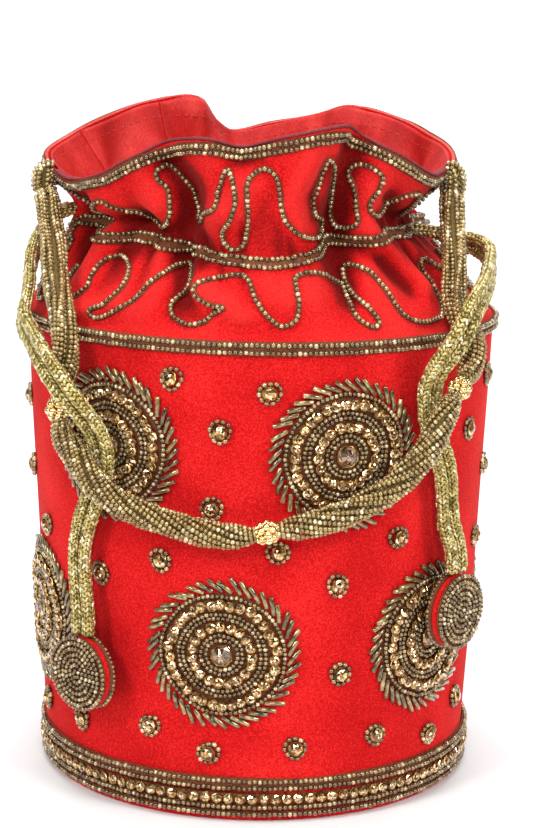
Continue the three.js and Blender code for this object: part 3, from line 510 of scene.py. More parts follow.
SEED_SHAPE = rounded([(-0.33, 0.37), (0, 0.5), (0.33, 0.37)], 6, 0.46)
BUGLE_SHAPE = turned([(-0.5, 0.4), (-0.47, 0.5), (0.47, 0.5), (0.5, 0.4)], 8)
STITCH_SHAPE = rounded([(-0.28, 0.4), (0, 0.5), (0.28, 0.4)], 5, 0.5)
GRAIN_SHAPE = turned([(-0.48, 0.15), (-0.3, 0.4), (0, 0.5), (0.3, 0.4), (0.48, 0.15)], 8)
STONE_SHAPE = cut_stone([(0.1, 0.95, 0), (0.45, 1, 0), (0.78, 0.78, 0.5), (0.95, 0.45, 0)])
CENTRE_SHAPE = cut_stone([(0.0, 0.96, 0), (0.25, 1, 0), (0.6, 0.7, 0.5), (0.86, 0.3, 0)], 10)
CUP_SHAPE = stone_cup()


class Heap:
    """Gathers many small shapes into one mesh."""

    def __init__(self):
        self.points = []
        self.faces = []
        self.count = 0

    def add(self, points, face_sets, look=0, smooth=True):
        for faces in face_sets:
            self.faces.append((np.asarray(faces) + self.count, look, smooth))
        self.points.append(np.asarray(points).reshape(-1, 3))
        self.count += len(self.points[-1])

    def copies(self, shape, places, along, up, size, look=0, smooth=True):
        """Copies of a shape at places, turned along and up, with sizes across, along and up."""
        points, face_sets = shape
        along = unit(along)
        right = unit(np.cross(along, up))
        up = np.cross(right, along)
        size = np.broadcast_to(size, (len(places), 3))
        scaled = points[None, :, :] * size[:, None, :]
        placed = (places[:, None, :] + scaled[..., 0:1] * right[:, None, :]
                  + scaled[..., 1:2] * along[:, None, :] + scaled[..., 2:3] * up[:, None, :])
        offsets = np.arange(len(places))[:, None, None] * len(points)
        many = [(faces[None] + offsets).reshape(-1, faces.shape[1]) for faces in face_sets]
        self.add(placed, many, look, smooth)

    def build(self, name, looks):
        mesh = bpy.data.meshes.new(name)
        points = np.vstack(self.points)
        sizes = np.concatenate([np.full(len(f), f.shape[1]) for f, _, _ in self.faces])
        corners = np.concatenate([f.ravel() for f, _, _ in self.faces])
        mesh.vertices.add(len(points))
        mesh.vertices.foreach_set("co", points.astype(np.float32).ravel())
        mesh.loops.add(len(corners))
        mesh.loops.foreach_set("vertex_index", corners.astype(np.int32))
        mesh.polygons.add(len(sizes))
        starts = np.concatenate([[0], np.cumsum(sizes)[:-1]])
        mesh.polygons.foreach_set("loop_start", starts.astype(np.int32))
        look_index = np.concatenate([np.full(len(f), look) for f, look, _ in self.faces])
        smoothness = np.concatenate([np.full(len(f), smooth) for f, _, smooth in self.faces])
        mesh.polygons.foreach_set("material_index", look_index.astype(np.int32))
        mesh.polygons.foreach_set("use_smooth", smoothness.astype(bool))
        mesh.update(calc_edges=True)
        mesh.validate()
        for look in looks:
            mesh.materials.append(look)
        obj = bpy.data.objects.new(name, mesh)
        bpy.context.scene.collection.objects.link(obj)
        return obj


def piece(name, heap, looks, slot, *nodes):
    """A finished piece of the bag that stands for its nodes in the frame."""
    obj = heap.build(name, looks)
    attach(obj, "root")
    if nodes:
        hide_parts(*nodes)
    return obj


def spaced(line, ups, pitch, closed):
    """Places a pitch apart along a line, with the line's direction and the outward side there."""
    if closed:
        line, ups = np.vstack([line, line[:1]]), np.vstack([ups, ups[:1]])
    along = lengths_along(line)
    count = max(int(round(along[-1] / pitch)), 3)
    step = along[-1] / count
    at = (np.arange(count) + 0.5) * step
    ahead = sample(line, np.minimum(at + step / 2, along[-1]), along)
    behind = sample(line, np.maximum(at - step / 2, 0), along)
    return sample(line, at, along), unit(ahead - behind), unit(sample(ups, at, along))


def seed_row(heap, line, ups, closed=True, look=0, size=BEAD, pitch=BEAD_PITCH, lift=0.42):
    """Couched seed beads along a line on the cloth, each a little unlike the next."""
    places, along, up = spaced(line, ups, pitch, closed)
    count = len(places)
    across = np.cross(along, up)
    places = places + up * size * (lift + 0.04 * RANDOM.standard_normal((count, 1)))
    places = places + across * size * 0.05 * RANDOM.standard_normal((count, 1))
    along = unit(along + across * 0.09 * RANDOM.standard_normal((count, 1)))
    girth = size * (1 + 0.05 * RANDOM.standard_normal(count))
    length = pitch * (1.06 + 0.06 * RANDOM.standard_normal(count))
    heap.copies(SEED_SHAPE, places, along, up, np.stack([girth, length, girth], -1), look)


def tape(heap, line, ups, width, height, look, closed=True):
    """A low band of couching thread under a bead row, dark so that it also paints the shade in the gaps
    between the beads.
    """
    ahead = np.roll(line, -1, 0) - np.roll(line, 1, 0) if closed else np.gradient(line, axis=0)
    across = unit(np.cross(ahead, ups))
    section = [(-0.5, 0.1), (-0.3, 1), (0.3, 1), (0.5, 0.1), (0.3, -0.4), (-0.3, -0.4)]
    rings = [line + across * width * side + ups * height * rise for side, rise in section]
    points = np.stack(rings, 1).reshape(-1, 3)
    size = len(line), len(section)
    heap.add(points, [grid_faces(*size, wrapped_rows=True)] if closed else tube_faces(*size), look)


# Materials

# Name of the velvet's depth map, which paints shade into its hollows and a pale sheen on its ridges.
SHADE_AND_SHEEN_ATTRIBUTE = "painted_shade_and_sheen"


def material(name, **sockets):
    """A node material and its shader, with constants set on the shader's own sockets."""
    look = bpy.data.materials.new(name)
    look.use_nodes = True
    shader = look.node_tree.nodes["Principled BSDF"]
    for key, value in sockets.items():
        shader.inputs[key.replace("_", " ")].default_value = value
    return look, shader


def add_node(look, kind, **inputs):
    node = look.node_tree.nodes.new(kind)
    for key, value in inputs.items():
        socket = node.inputs[key.replace("_", " ")]
        if isinstance(value, bpy.types.NodeSocket):
            look.node_tree.links.new(value, socket)
        else:
            socket.default_value = value
    return node


def ramp(look, factor, *stops):
    """A colour ramp through stops of place and colour."""
    node = add_node(look, "ShaderNodeValToRGB", Fac=factor)
    elements = node.color_ramp.elements
    while len(elements) < len(stops):
        elements.new(0.5)
    for element, (place, colour) in zip(elements, stops):
        element.position = place
        element.color = (*colour, 1)
    return node.outputs["Color"]


def position(look, stretch=(1, 1, 1)):
    """Places on the object in metres, stretched along its axes."""
    coords = add_node(look, "ShaderNodeTexCoord")
    mapping = add_node(look, "ShaderNodeMapping", Vector=coords.outputs["Object"], Scale=stretch)
    return mapping.outputs["Vector"]


def noise(look, scale, detail=2.0, stretch=(1, 1, 1)):
    node = add_node(look, "ShaderNodeTexNoise", Vector=position(look, stretch), Scale=scale, Detail=detail)
    return node.outputs["Fac"]


def bump(look, shader, height, strength, distance):
    node = add_node(look, "ShaderNodeBump", Height=height, Strength=strength, Distance=distance)
    look.node_tree.links.new(node.outputs["Normal"], shader.inputs["Normal"])


def blend_factors(look, first, second, share):
    node = add_node(look, "ShaderNodeMix", Factor=share, A=first, B=second)
    return node.outputs["Result"]


def each_bead(look):
    """A random number for each separate bead."""
    return add_node(look, "ShaderNodeNewGeometry").outputs["Random Per Island"]


def link_colour(look, shader, colour):
    look.node_tree.links.new(colour, shader.inputs["Base Color"])


def map_range(look, value, **limits):
    """A value taken from one range to another."""
    return add_node(look, "ShaderNodeMapRange", Value=value, **limits).outputs["Result"]


def vary_roughness(look, shader, factor, low, high):
    """Roughness that runs from low to high with a factor."""
    roughness = map_range(look, factor, To_Min=low, To_Max=high)
    look.node_tree.links.new(roughness, shader.inputs["Roughness"])


def velvet_look(name, *stops):
    """Velvet: nap brushed in soft patches, a fine pile grain, painted shade in its hollows and a painted pale
    sheen on its ridges.
    """
    look, shader = material(name, Roughness=0.9, Specular_IOR_Level=0.1, Sheen_Weight=0.35,
                            Sheen_Roughness=0.4, Sheen_Tint=(1, 0.15, 0.12, 1))
    patches = noise(look, 45, 1)
    grain = noise(look, 1900, 2)
    weave = noise(look, 700, 1, (1, 1, 0.6))
    tone = blend_factors(look, patches, grain, 0.68)
    painted_shade_and_sheen = add_node(look, "ShaderNodeAttribute")
    painted_shade_and_sheen.attribute_name = SHADE_AND_SHEEN_ATTRIBUTE
    depth = painted_shade_and_sheen.outputs["Fac"]
    # Painted sheen: raised places are mixed towards a pale pink.
    painted_sheen = map_range(look, depth, From_Min=-0.1, From_Max=-1.0, To_Min=0.0, To_Max=0.22)
    pale = add_node(look, "ShaderNodeMix", Factor=painted_sheen)
    pale.data_type = "RGBA"
    look.node_tree.links.new(ramp(look, tone, *stops), pale.inputs[6])
    pale.inputs[7].default_value = (0.84, 0.05, 0.04, 1)
    # Painted shade: deep places are darkened down to 0.3 of their colour.
    shade = map_range(look, depth, From_Min=0.0, From_Max=1.0, To_Min=1.0, To_Max=0.3)
    shaded = add_node(look, "ShaderNodeVectorMath", Vector=pale.outputs[2])
    shaded.operation = "SCALE"
    look.node_tree.links.new(shade, shaded.inputs["Scale"])
    link_colour(look, shader, shaded.outputs["Vector"])
    bump(look, shader, blend_factors(look, grain, weave, 0.35), 0.6, 0.0005)
    return look


def satin_look():
    """Red satin lining: glossy floats of a fine weave, slightly creased, with painted shade and highlight
    along the creases.
    """
    look, shader = material("red_satin_weave", Roughness=0.55, Specular_IOR_Level=0.22, Anisotropic=0.4)
    crease_shade_and_highlight = noise(look, 120, 4, (1, 1, 0.5))
    weave = noise(look, 2200, 1, (1, 1, 0.25))
    tone = blend_factors(look, crease_shade_and_highlight, weave, 0.35)
    # The colour runs from painted shade to painted highlight with the creases, and varies a little with the
    # weave.
    link_colour(look, shader, ramp(
        look, tone, (0.3, (0.3, 0.006, 0.005)), (0.52, (0.47, 0.014, 0.011)), (0.72, (0.64, 0.042, 0.034))))
    bump(look, shader, tone, 0.6, 0.001)
    return look


def bead_look(name, *stops, metallic=0.5, roughness=0.16, coat=1.0, mottle=0.0):
    """Lined glass beads with a clear coat, each of its own brightness: partly real bead-to-bead tone, partly
    painted glints and shade.
    """
    look, shader = material(name, Metallic=metallic, Coat_Weight=coat, Coat_Roughness=0.06)
    cloud = noise(look, 520, 1)
    spread_cloud = map_range(look, cloud, From_Min=0.3, From_Max=0.7)
    tone = blend_factors(look, each_bead(look), spread_cloud, mottle)
    link_colour(look, shader, ramp(look, tone, *stops))
    vary_roughness(look, shader, cloud, roughness * 0.6, roughness * 1.5)
    return look


def metal_look(name, dark, bright, roughness, scale):
    """Gilt metal with tarnish in its hollows."""
    look, shader = material(name, Metallic=1.0)
    tarnish = noise(look, scale, 3)
    link_colour(look, shader, ramp(look, tarnish, (0.35, dark), (0.6, bright)))
    vary_roughness(look, shader, tarnish, roughness * 1.6, roughness * 0.6)
    return look


def thread_look(name, dark, bright, metallic=0.0):
    """Twisted sewing thread."""
    look, shader = material(name, Roughness=0.7, Metallic=metallic, Specular_IOR_Level=0.2)
    twist = noise(look, 2600, 2)
    link_colour(look, shader, ramp(look, twist, (0.35, dark), (0.65, bright)))
    bump(look, shader, twist, 0.5, 0.0003)
    return look


VELVET = velvet_look(
    "red_velvet_pile", (0.36, (0.4, 0.003, 0.004)), (0.5, (0.58, 0.007, 0.008)), (0.64, (0.78, 0.022, 0.02)))
# A pale pink velvet that paints the sheen of light along the back rim's rounded edge.
SHEEN_EDGE = velvet_look(
    "painted_sheen_edge", (0.3, (0.6, 0.02, 0.02)), (0.5, (0.78, 0.08, 0.07)), (0.7, (0.9, 0.22, 0.18)))
SATIN = satin_look()
# Bead tones run from a dark brown to a pale glint: partly real tone, partly painted glints and shade.
SEEDS = bead_look(
    "olive_gold_seed_beads", (0, (0.11, 0.06, 0.022)), (0.5, (0.24, 0.155, 0.062)),
    (0.85, (0.42, 0.31, 0.15)), (1, (0.75, 0.62, 0.38)), metallic=0.6)
STRANDS = bead_look(
    "pale_gold_strand_beads", (0, (0.2, 0.115, 0.028)), (0.5, (0.33, 0.22, 0.065)),
    (0.88, (0.48, 0.36, 0.14)), (1, (0.85, 0.74, 0.48)))
BUGLES = bead_look(
    "olive_bugle_beads", (0.15, (0.06, 0.04, 0.015)), (0.5, (0.22, 0.15, 0.055)), (0.8, (0.42, 0.31, 0.13)),
    (1, (0.7, 0.56, 0.3)), roughness=0.12, mottle=0.6)
# Each facet takes a random tone from near black to near white: painted glints and painted dark reflections.
STONES = bead_look(
    "champagne_stones", (0, (0.045, 0.018, 0.004)), (0.3, (0.2, 0.09, 0.022)), (0.6, (0.52, 0.29, 0.09)),
    (0.85, (0.92, 0.64, 0.28)), (1, (1.0, 0.93, 0.76)), metallic=0.85, roughness=0.08)
# Each facet of the smoky stones takes a random tone from near black to pale: painted glints and painted dark
# reflections.
SMOKY = bead_look(
    "smoky_centre_stones", (0, (0.03, 0.018, 0.012)), (0.4, (0.16, 0.09, 0.05)), (0.75, (0.55, 0.33, 0.2)),
    (1, (0.9, 0.8, 0.7)), metallic=0.75, roughness=0.06)
GILT = metal_look("gilt_metal", (0.7, 0.45, 0.17), (1.0, 0.83, 0.48), 0.16, 900)
CUPS = metal_look("stone_cups", (0.26, 0.14, 0.035), (0.66, 0.44, 0.16), 0.3, 900)
# Stitch tones run from a shaded dark to a pale glint: partly real tone, partly painted glints and shade.
CORD_GOLD = bead_look(
    "lurex_stitches", (0, (0.14, 0.1, 0.02)), (0.35, (0.43, 0.33, 0.095)), (0.75, (0.69, 0.57, 0.24)),
    (1, (1.0, 0.96, 0.8)), metallic=0.65, roughness=0.28, coat=0.2, mottle=0.25)
# Dark red-brown couching thread, which also paints the shade in the gaps between beads.
COUCHING_AND_SHADE = thread_look("couching_thread_and_shade", (0.1, 0.025, 0.01), (0.24, 0.075, 0.03))
# The knitted cords' heart, dark so that it paints the shade seen between the stitches.
CORD_HEART_AND_SHADE = thread_look("cord_heart_and_shade", (0.12, 0.09, 0.025), (0.26, 0.2, 0.07), 0.3)
STRAND_HEART = thread_look("strand_heart", (0.16, 0.1, 0.03), (0.28, 0.19, 0.07), 0.2)
# A dark red that paints the shade along the front rim's inner edge.
EDGE_SHADE = thread_look("painted_shade_edge", (0.12, 0.015, 0.02), (0.24, 0.035, 0.04))
STITCHES = thread_look("lining_stitches", (0.36, 0.01, 0.012), (0.6, 0.05, 0.05))


# Stage

def add_camera():
    """Level ahead at first, then pitched down and rolled."""
    pitch, roll = math.radians(CAMERA_PITCH), math.radians(CAMERA_ROLL)
    forward = Vector((0, math.cos(pitch), -math.sin(pitch)))
    right = Vector((1, 0, 0))
    up = right.cross(forward)
    across = right * math.cos(roll) + up * math.sin(roll)
    upward = up * math.cos(roll) - right * math.sin(roll)
    camera = bpy.data.objects.new("camera", bpy.data.cameras.new("camera"))
    camera.data.lens = CAMERA_LENS
    camera.data.clip_start = 0.01
    bpy.context.scene.collection.objects.link(camera)
    placed = Matrix((across, upward, -forward)).transposed().to_4x4()
    placed.translation = CAMERA_PLACE
    camera.matrix_world = placed
    bpy.context.scene.camera = camera


def add_lamp(name, place, aim, size, power):
    lamp = bpy.data.lights.new(name, "AREA")
    lamp.shape = "RECTANGLE"
    lamp.size, lamp.size_y = size
    lamp.energy = power
    obj = bpy.data.objects.new(name, lamp)
    obj.location = place
    obj.rotation_euler = (Vector(aim) - Vector(place)).to_track_quat("-Z", "Y").to_euler()
    bpy.context.scene.collection.objects.link(obj)


def add_stage():
    """A pale floor that sweeps up behind the bag."""
    near, far, bend, top, half = -1.6, 1.0, 0.5, 2.4, 2.6
    arc = [(far + bend * math.sin(a), bend * (1 - math.cos(a))) for a in np.linspace(0, math.pi / 2, 13)]
    profile = [(near, 0.0), *arc, (far + bend, top)]
    points = [(side * half, y, z) for y, z in profile for side in (-1, 1)]
    faces = [(2 * i, 2 * i + 1, 2 * i + 3, 2 * i + 2) for i in range(len(profile) - 1)]
    mesh = bpy.data.meshes.new("floor_sweep")
    mesh.from_pydata(points, [], faces)
    for polygon in mesh.polygons:
        polygon.use_smooth = True
    look, shader = material("pale_floor", Roughness=0.8, Specular_IOR_Level=0.1)
    tone = noise(look, 6, 2)
    link_colour(look, shader, ramp(look, tone, (0.3, (0.86, 0.86, 0.87)), (0.7, (0.9, 0.9, 0.9))))
    mesh.materials.append(look)
    obj = bpy.data.objects.new("floor_sweep", mesh)
    bpy.context.scene.collection.objects.link(obj)


def add_light():
    """Soft boxes round the bag and one on the backdrop, in a dim pale room."""
    world = bpy.data.worlds.new("studio")
    world.use_nodes = True
    room = world.node_tree.nodes["Background"].inputs
    room["Color"].default_value = (0.95, 0.97, 1, 1)
    room["Strength"].default_value = 0.16
    bpy.context.scene.world = world
    bag_middle, backdrop = (0, 0, 0.1), (0, 1.3, 0.4)
    add_lamp("left_softbox", (-0.8, -0.8, 0.8), bag_middle, (0.35, 0.45), 9)
    add_lamp("right_softbox", (0.9, -0.7, 0.75), bag_middle, (0.35, 0.45), 7.5)
    add_lamp("front_softbox", (0.05, -1.2, 0.75), bag_middle, (0.45, 0.3), 5.5)
    add_lamp("top_softbox", (0.0, -0.2, 1.2), bag_middle, (0.5, 0.4), 7)
    add_lamp("backdrop_softbox", (0.0, 0.55, 1.5), backdrop, (1.6, 0.4), 20)


# Cords

def embroidered(z):
    """The drum's radius over its medallions."""
    return drum_radius(z) + MEDALLION_HEIGHT + SEAM_GAP * 2.6


def level_z(level):
    """Height of a level: 0 to 1 on the drum, 1 to 2 from its seam to the rim at the sides."""
    rim_z = DRUM_HEIGHT + RIM_RISE * SIDE_RIM
    return np.where(level <= 1, level * DRUM_HEIGHT, mix(DRUM_HEIGHT, rim_z, level - 1))


def over_rim(degrees):
    """From the middle of the rim's edge over to the outside of its bead rows."""
    spread = HANDLE_DIAMETER * 0.42
    crest = raised(degrees, 0.99, spread * 0.7) + [0, 0, spread * 0.6]
    outside = raised(degrees, RIM_BEADS_PLACE - 0.06, SEAM_GAP * 2 + SEED + spread)
    return rim_edge(degrees), crest, outside


def handle_points():
    """The handle's middle line from the left rim round the front to the right rim."""
    edge, crest, outside = over_rim(np.array(HANDLE_ANGLES, float))
    angle, level, layer = np.array(HANDLE_ROUTE).T
    z = level_z(level)
    lying = embroidered(z) + HANDLE_DIAMETER / 2 + layer * (CORD_DIAMETER + SEAM_GAP * 2)
    sewn = np.where(angle < 0, *np.hypot(outside[:, 0], outside[:, 1]))
    share = np.clip(level - 1, 0, 1)
    middle = polar(angle, mix(lying, sewn, share) - 4 * HANDLE_SAG * share * (1 - share), z)
    return np.vstack([edge[0], crest[0], outside[0], middle, outside[1], crest[1], edge[1]])


def tassel_place(side):
    """The middle of a disc, which hangs on the embroidery."""
    angle, level = TASSELS[side]
    z = level * DRUM_HEIGHT
    return polar(angle, embroidered(z + TASSEL_RADIUS) + TASSEL_THICKNESS / 2, z)


def strand_points(side, across_sign):
    """One strand of a drawcord from its slit to its disc."""
    angle, level, layer = np.array(CORD_ROUTES[side]).T
    z = level_z(level)
    over = HANDLE_DIAMETER + SEAM_GAP * 2
    middle = polar(angle, embroidered(z) + CORD_RADIUS + layer * over, z)
    end = tassel_place(side)
    top = TASSEL_RADIUS + SEAM_GAP
    tail = [end + [0, 0, top + CORD_DIAMETER * 2], end + [0, 0, top]]
    middle = np.vstack([middle, tail])
    ahead = np.vstack([middle[1:], middle[-1:]]) - np.vstack([middle[:1], middle[:-1]])
    across = unit(np.cross(unit(ahead), outward(middle)))
    return middle + across * across_sign * CORD_PITCH / 2


def slit_points(side, way):
    """Where a strand passes its slit in the velvet, outside first."""
    angle, z = SLIT_ANGLES[side], CORD_HEIGHTS[side]
    step = math.degrees(CORD_PITCH / 2 / NECK_RADIUS)
    wall = NECK_RADIUS + float(neck_fold(angle)[0])
    radii = np.array([wall + CORD_DIAMETER, wall - CORD_DIAMETER])
    return polar(np.full(2, angle + way * step), radii, z)


def tube(heap, line, radius, sides, look):
    """A plain round tube along a line."""
    ups = outward(line)
    ahead = unit(np.gradient(line, axis=0))
    right = unit(np.cross(ahead, ups))
    ups = np.cross(right, ahead)
    turn = 2 * np.pi * np.arange(sides) / sides
    ring = right[:, None] * np.cos(turn)[:, None] + ups[:, None] * np.sin(turn)[:, None]
    points = line[:, None] + ring * np.broadcast_to(radius, len(line))[:, None, None]
    heap.add(points, tube_faces(len(line), sides), look)


def relaxed(line, reach, kept=0.0):
    """The line with its turns softened, as a limp cord lies, but for a kept length at each end."""
    along = lengths_along(line)
    step = 0.5 * MM
    even = sample(line, np.linspace(0, along[-1], int(along[-1] / step)), along)
    half = int(reach / step)
    weights = np.hanning(2 * half + 3)[1:-1]
    padded = np.vstack([2 * even[0] - even[half:0:-1], even, 2 * even[-1] - even[-2:-half - 2:-1]])
    soft = np.stack([np.convolve(padded[:, k], weights / weights.sum(), "valid") for k in range(3)], -1)
    from_end = step * np.minimum(np.arange(len(even)), np.arange(len(even))[::-1])
    return mix(even, soft, smoothstep(kept, kept * 2 + step, from_end)[:, None]) if kept else soft


def knitted_cord(line):
    """A knitted tube: columns of slanted stitches, left and right by turns, on a plain dark heart that also
    paints the shade between them.
    """
    heap = Heap()
    along = lengths_along(line)
    rows = int(along[-1] / STITCH_PITCH)
    at = (np.arange(rows) + 0.5) * along[-1] / rows
    centre = sample(line, at, along)
    ahead = unit(sample(line, at + 0.4 * MM, along) - sample(line, at - 0.4 * MM, along))
    right = unit(np.cross(ahead, outward(centre)))
    up = np.cross(right, ahead)
    # The heart, whose dark colour paints the shade between the stitches.
    tube(heap, sample(line, np.linspace(0, along[-1], rows), along), CORD_RADIUS * 0.74, 8, 1)
    for column in range(STITCH_COLUMNS):
        slant = 1 if column % 2 else -1
        turn = 2 * np.pi * (column + 0.5) / STITCH_COLUMNS
        out = right * math.cos(turn) + up * math.sin(turn)
        lean = unit(ahead + np.cross(ahead, out) * slant * 0.55)
        unevenness = 0.1 * MM * RANDOM.standard_normal((rows, 1))
        places = centre + out * (CORD_RADIUS - STITCH_SIZE[2] * 0.5 + unevenness)
        size = STITCH_SIZE * (1 + 0.07 * RANDOM.standard_normal((rows, 1)))
        heap.copies(STITCH_SHAPE, places, lean, out, size)
    return heap


def make_drawcord(side, tassel_pieces):
    """Two knitted strands from the slit to the disc, and the cord's turn in the neck's channel."""
    sense = -np.sign(SLIT_ANGLES[side])
    for number, (across_sign, way) in enumerate(((1, sense), (-1, -sense)), 1):
        gate = slit_points(side, way)
        line = relaxed(through(np.vstack([gate[::-1], strand_points(side, across_sign)])), CORD_EASE)
        strand = piece(f"drawcord_{side}_strand_{number}", knitted_cord(line), [CORD_GOLD, CORD_HEART_AND_SHADE],
                       "gold_cord", f"drawcord_{side}")
    swing = np.linspace(20, 340, 64)
    ring = polar(SLIT_ANGLES[side] + sense * swing, CHANNEL_RADIUS, CORD_HEIGHTS[side])
    heap = Heap()
    tube(heap, ring, CORD_RADIUS, 8, 0)
    piece(f"drawcord_{side}_channel_turn", heap, [CORD_HEART_AND_SHADE], "gold_cord")


def make_tassel(side):
    """A padded velvet disc with rings of seed beads on both faces."""
    centre = tassel_place(side)
    facing = outward(centre)
    level = np.array([-facing[1], facing[0], 0.0])
    rise = np.array([0.0, 0, 1])
    core = Heap()
    pillow = [(-0.5, 0.8), (-0.42, 0.93), (-0.2, 1), (0.2, 1), (0.42, 0.93), (0.5, 0.8)]
    profile = [(place * TASSEL_CORE, radius * (TASSEL_RADIUS - SEED * 0.3)) for place, radius in pillow]
    core.copies(turned(profile, 40), centre[None], facing[None], rise[None], (1, 1, 1))
    pieces = [piece(f"tassel_{side}_velvet", core, [VELVET], "red_velvet", f"tassel_{side}_core")]
    for face, sign in (("front", 1), ("back", -1)):
        heap = Heap()
        ground = [(0.02, 0.96), (0.3, 0.96), (0.4, 0.88), (0.42, 0.5)]
        rows = [(TASSEL_CORE / 2 + place * SEED, radius * TASSEL_RADIUS) for place, radius in ground]
        heap.copies(turned(rows, 36), centre[None], sign * facing[None], rise[None], (1, 1, 1), 1)
        turn = full_circle(90, 2 * np.pi)
        for radius in np.arange(TASSEL_RADIUS - FINE_BEAD * 0.5, FINE_BEAD * 0.4, -FINE_BEAD * 1.04):
            wobble = radius * (1 + 0.02 * np.sin(2 * turn + RANDOM.uniform(0, 6)))[:, None]
            height = TASSEL_CORE / 2 + SEED * (0.42 - 0.3 * smoothstep(0.8, 1.0, radius / TASSEL_RADIUS))
            circle = (centre + wobble * (np.cos(turn)[:, None] * level + np.sin(turn)[:, None] * rise)
                      + sign * facing * height)
            ups = np.broadcast_to(sign * facing, circle.shape)
            seed_row(heap, circle, ups, size=FINE_BEAD, pitch=FINE_PITCH)
        pieces.append(piece(f"tassel_{side}_{face}_beads", heap, [SEEDS, COUCHING_AND_SHADE], "seed_beads",
                            f"tassel_{side}_{face}"))
    return pieces


def make_spacer(name, centre, ahead, node):
    """A gilt openwork bead: rows of grains between two beaded rings."""
    heap = Heap()
    side = unit(np.cross(ahead, [0.0, 0, 1]))
    other = np.cross(side, ahead)
    rows = ((-2.75, 2.2, 10, 1.2), (-1.5, 2.35, 6, 2.5), (0.35, 2.7, 7, 2.6), (1.9, 2.3, 6, 2.3),
            (2.85, 2.1, 10, 1.1))
    for number, (place, radius, count, grain) in enumerate(rows):
        turn = 2 * np.pi * (np.arange(count) + 0.5 * (number % 2)) / count
        out = np.cos(turn)[:, None] * side + np.sin(turn)[:, None] * other
        places = centre + ahead * place * MM + out * radius * MM
        heap.copies(GRAIN_SHAPE, places, np.broadcast_to(ahead, places.shape), out, np.full(3, grain * MM))
    return piece(name, heap, [GILT], "gold_metal", node)


def make_spacers(line, along, spots):
    """The gilt beads at given lengths along the handle."""
    beads = []
    for name, at in zip(("left", "middle", "right"), spots):
        centre, beyond = sample(line, np.array([at, at + MM]), along)
        beads.append(make_spacer(f"spacer_{name}_gilt", centre, unit(beyond - centre), f"spacer_bead_{name}"))
    return beads


def handle_sides(middle, from_end):
    """Right and up along the handle. Where it is hooked over the rim, right runs level round the bag."""
    ahead = unit(np.gradient(middle, axis=0))
    right = unit(np.cross(ahead, outward(middle)))
    round_bag = np.cross([0, 0, 1.0], outward(middle))
    round_bag[:len(middle) // 2] *= -1
    right = unit(mix(right, round_bag, smoothstep(20 * MM, 12 * MM, from_end)[:, None]))
    return right, np.cross(right, ahead)


def make_handle():
    """Strands of beads in two layers, twisted along the front, loose where they are sewn to the rim."""
    knots = handle_points()
    line = relaxed(through(knots), HANDLE_EASE, HANDLE_KEPT)
    along = lengths_along(line)
    spots = [along[np.linalg.norm(line - knots[point + 3], axis=1).argmin()] for point in SPACER_POINTS]
    beads = make_spacers(line, along, spots)
    heap = Heap()
    fine = np.linspace(0, along[-1], 1400)
    from_end = np.minimum(fine, along[-1] - fine)
    middle = sample(line, fine, along)
    right, up = handle_sides(middle, from_end)
    nearest = np.min([np.abs(fine - spot) for spot in spots], axis=0)
    drawn = np.exp(-((nearest / SPACER_PULL) ** 2))
    twisting = smoothstep(HANDLE_LOOSE * 0.5, HANDLE_LOOSE * 1.6, from_end)
    twist = np.cumsum(twisting) * (fine[1] - fine[0]) / HANDLE_LAY * 2 * np.pi
    tied = smoothstep(HANDLE_TIED, 0, from_end)
    bundle = HANDLE_DIAMETER / 2 - FINE_BEAD * 0.45
    strands = [(number, count, share) for count, share in HANDLE_STRANDS for number in range(count)]
    for strand, (number, count, share) in enumerate(strands):
        sway = 0.25 * np.sin(fine / (23 * MM) + strand * 2.1) + 0.2 * np.sin(fine / (9 * MM) + strand * 1.3)
        turn = 2 * np.pi * number / count - twist + sway * mix(0.9, 0.4, twisting)
        bulge = 1 + mix(0.3, 0.12, twisting) * sway
        reach = share * bundle * (1 - 0.72 * drawn) * bulge * mix(1, 0.55, tied)
        course = middle + right * (reach * np.cos(turn))[:, None] + up * (reach * np.sin(turn))[:, None]
        for start, stop in runs(nearest > SPACER_HALF):
            stretch = course[start:stop]
            seed_row(heap, stretch, outward(stretch), closed=False, lift=0, size=FINE_BEAD, pitch=FINE_PITCH)
    tube(heap, middle[::4], (bundle * (0.42 - 0.2 * drawn) * mix(1, 0.5, tied))[::4], 10, 1)
    obj = piece("handle_bead_strands", heap, [STRANDS, STRAND_HEART], "bead_strands", "handle_strands")


def runs(shown):
    """Starts and stops of the stretches that are shown."""
    edges = np.flatnonzero(np.diff(np.concatenate([[0], shown.astype(int), [0]])))
    return edges.reshape(-1, 2)


# Cloth

def shell(rings, heap):
    """Closes a loop of equal rings into one skin."""
    heap.add(rings, [grid_faces(len(rings), len(rings[0]), wrapped_rows=True)])


def blurred(field, reach):
    """A field over places and angles, softened over a number of cells each way."""
    padded = np.vstack([field[::-1], field, field[::-1]])
    down = np.fft.fftfreq(len(padded))[:, None] * reach[0]
    around = np.fft.fftfreq(padded.shape[1]) * reach[1]
    weight = np.exp(-2 * np.pi ** 2 * (down ** 2 + around ** 2))
    return np.fft.ifft2(np.fft.fft2(padded) * weight).real[len(field):2 * len(field)]


def shade_and_sheen_depths(radius):
    """How deep each place lies against its surroundings, near and wide, -1 to 1, lifted 0.1: a map for
    painted shade and sheen.
    """
    near = (blurred(radius, (4, 6)) - radius) / (1.3 * MM)
    wide = (blurred(radius, (10, 16)) - radius) / (4 * MM)
    return np.clip(0.1 + 0.65 * near + 0.6 * wide, -1, 1)


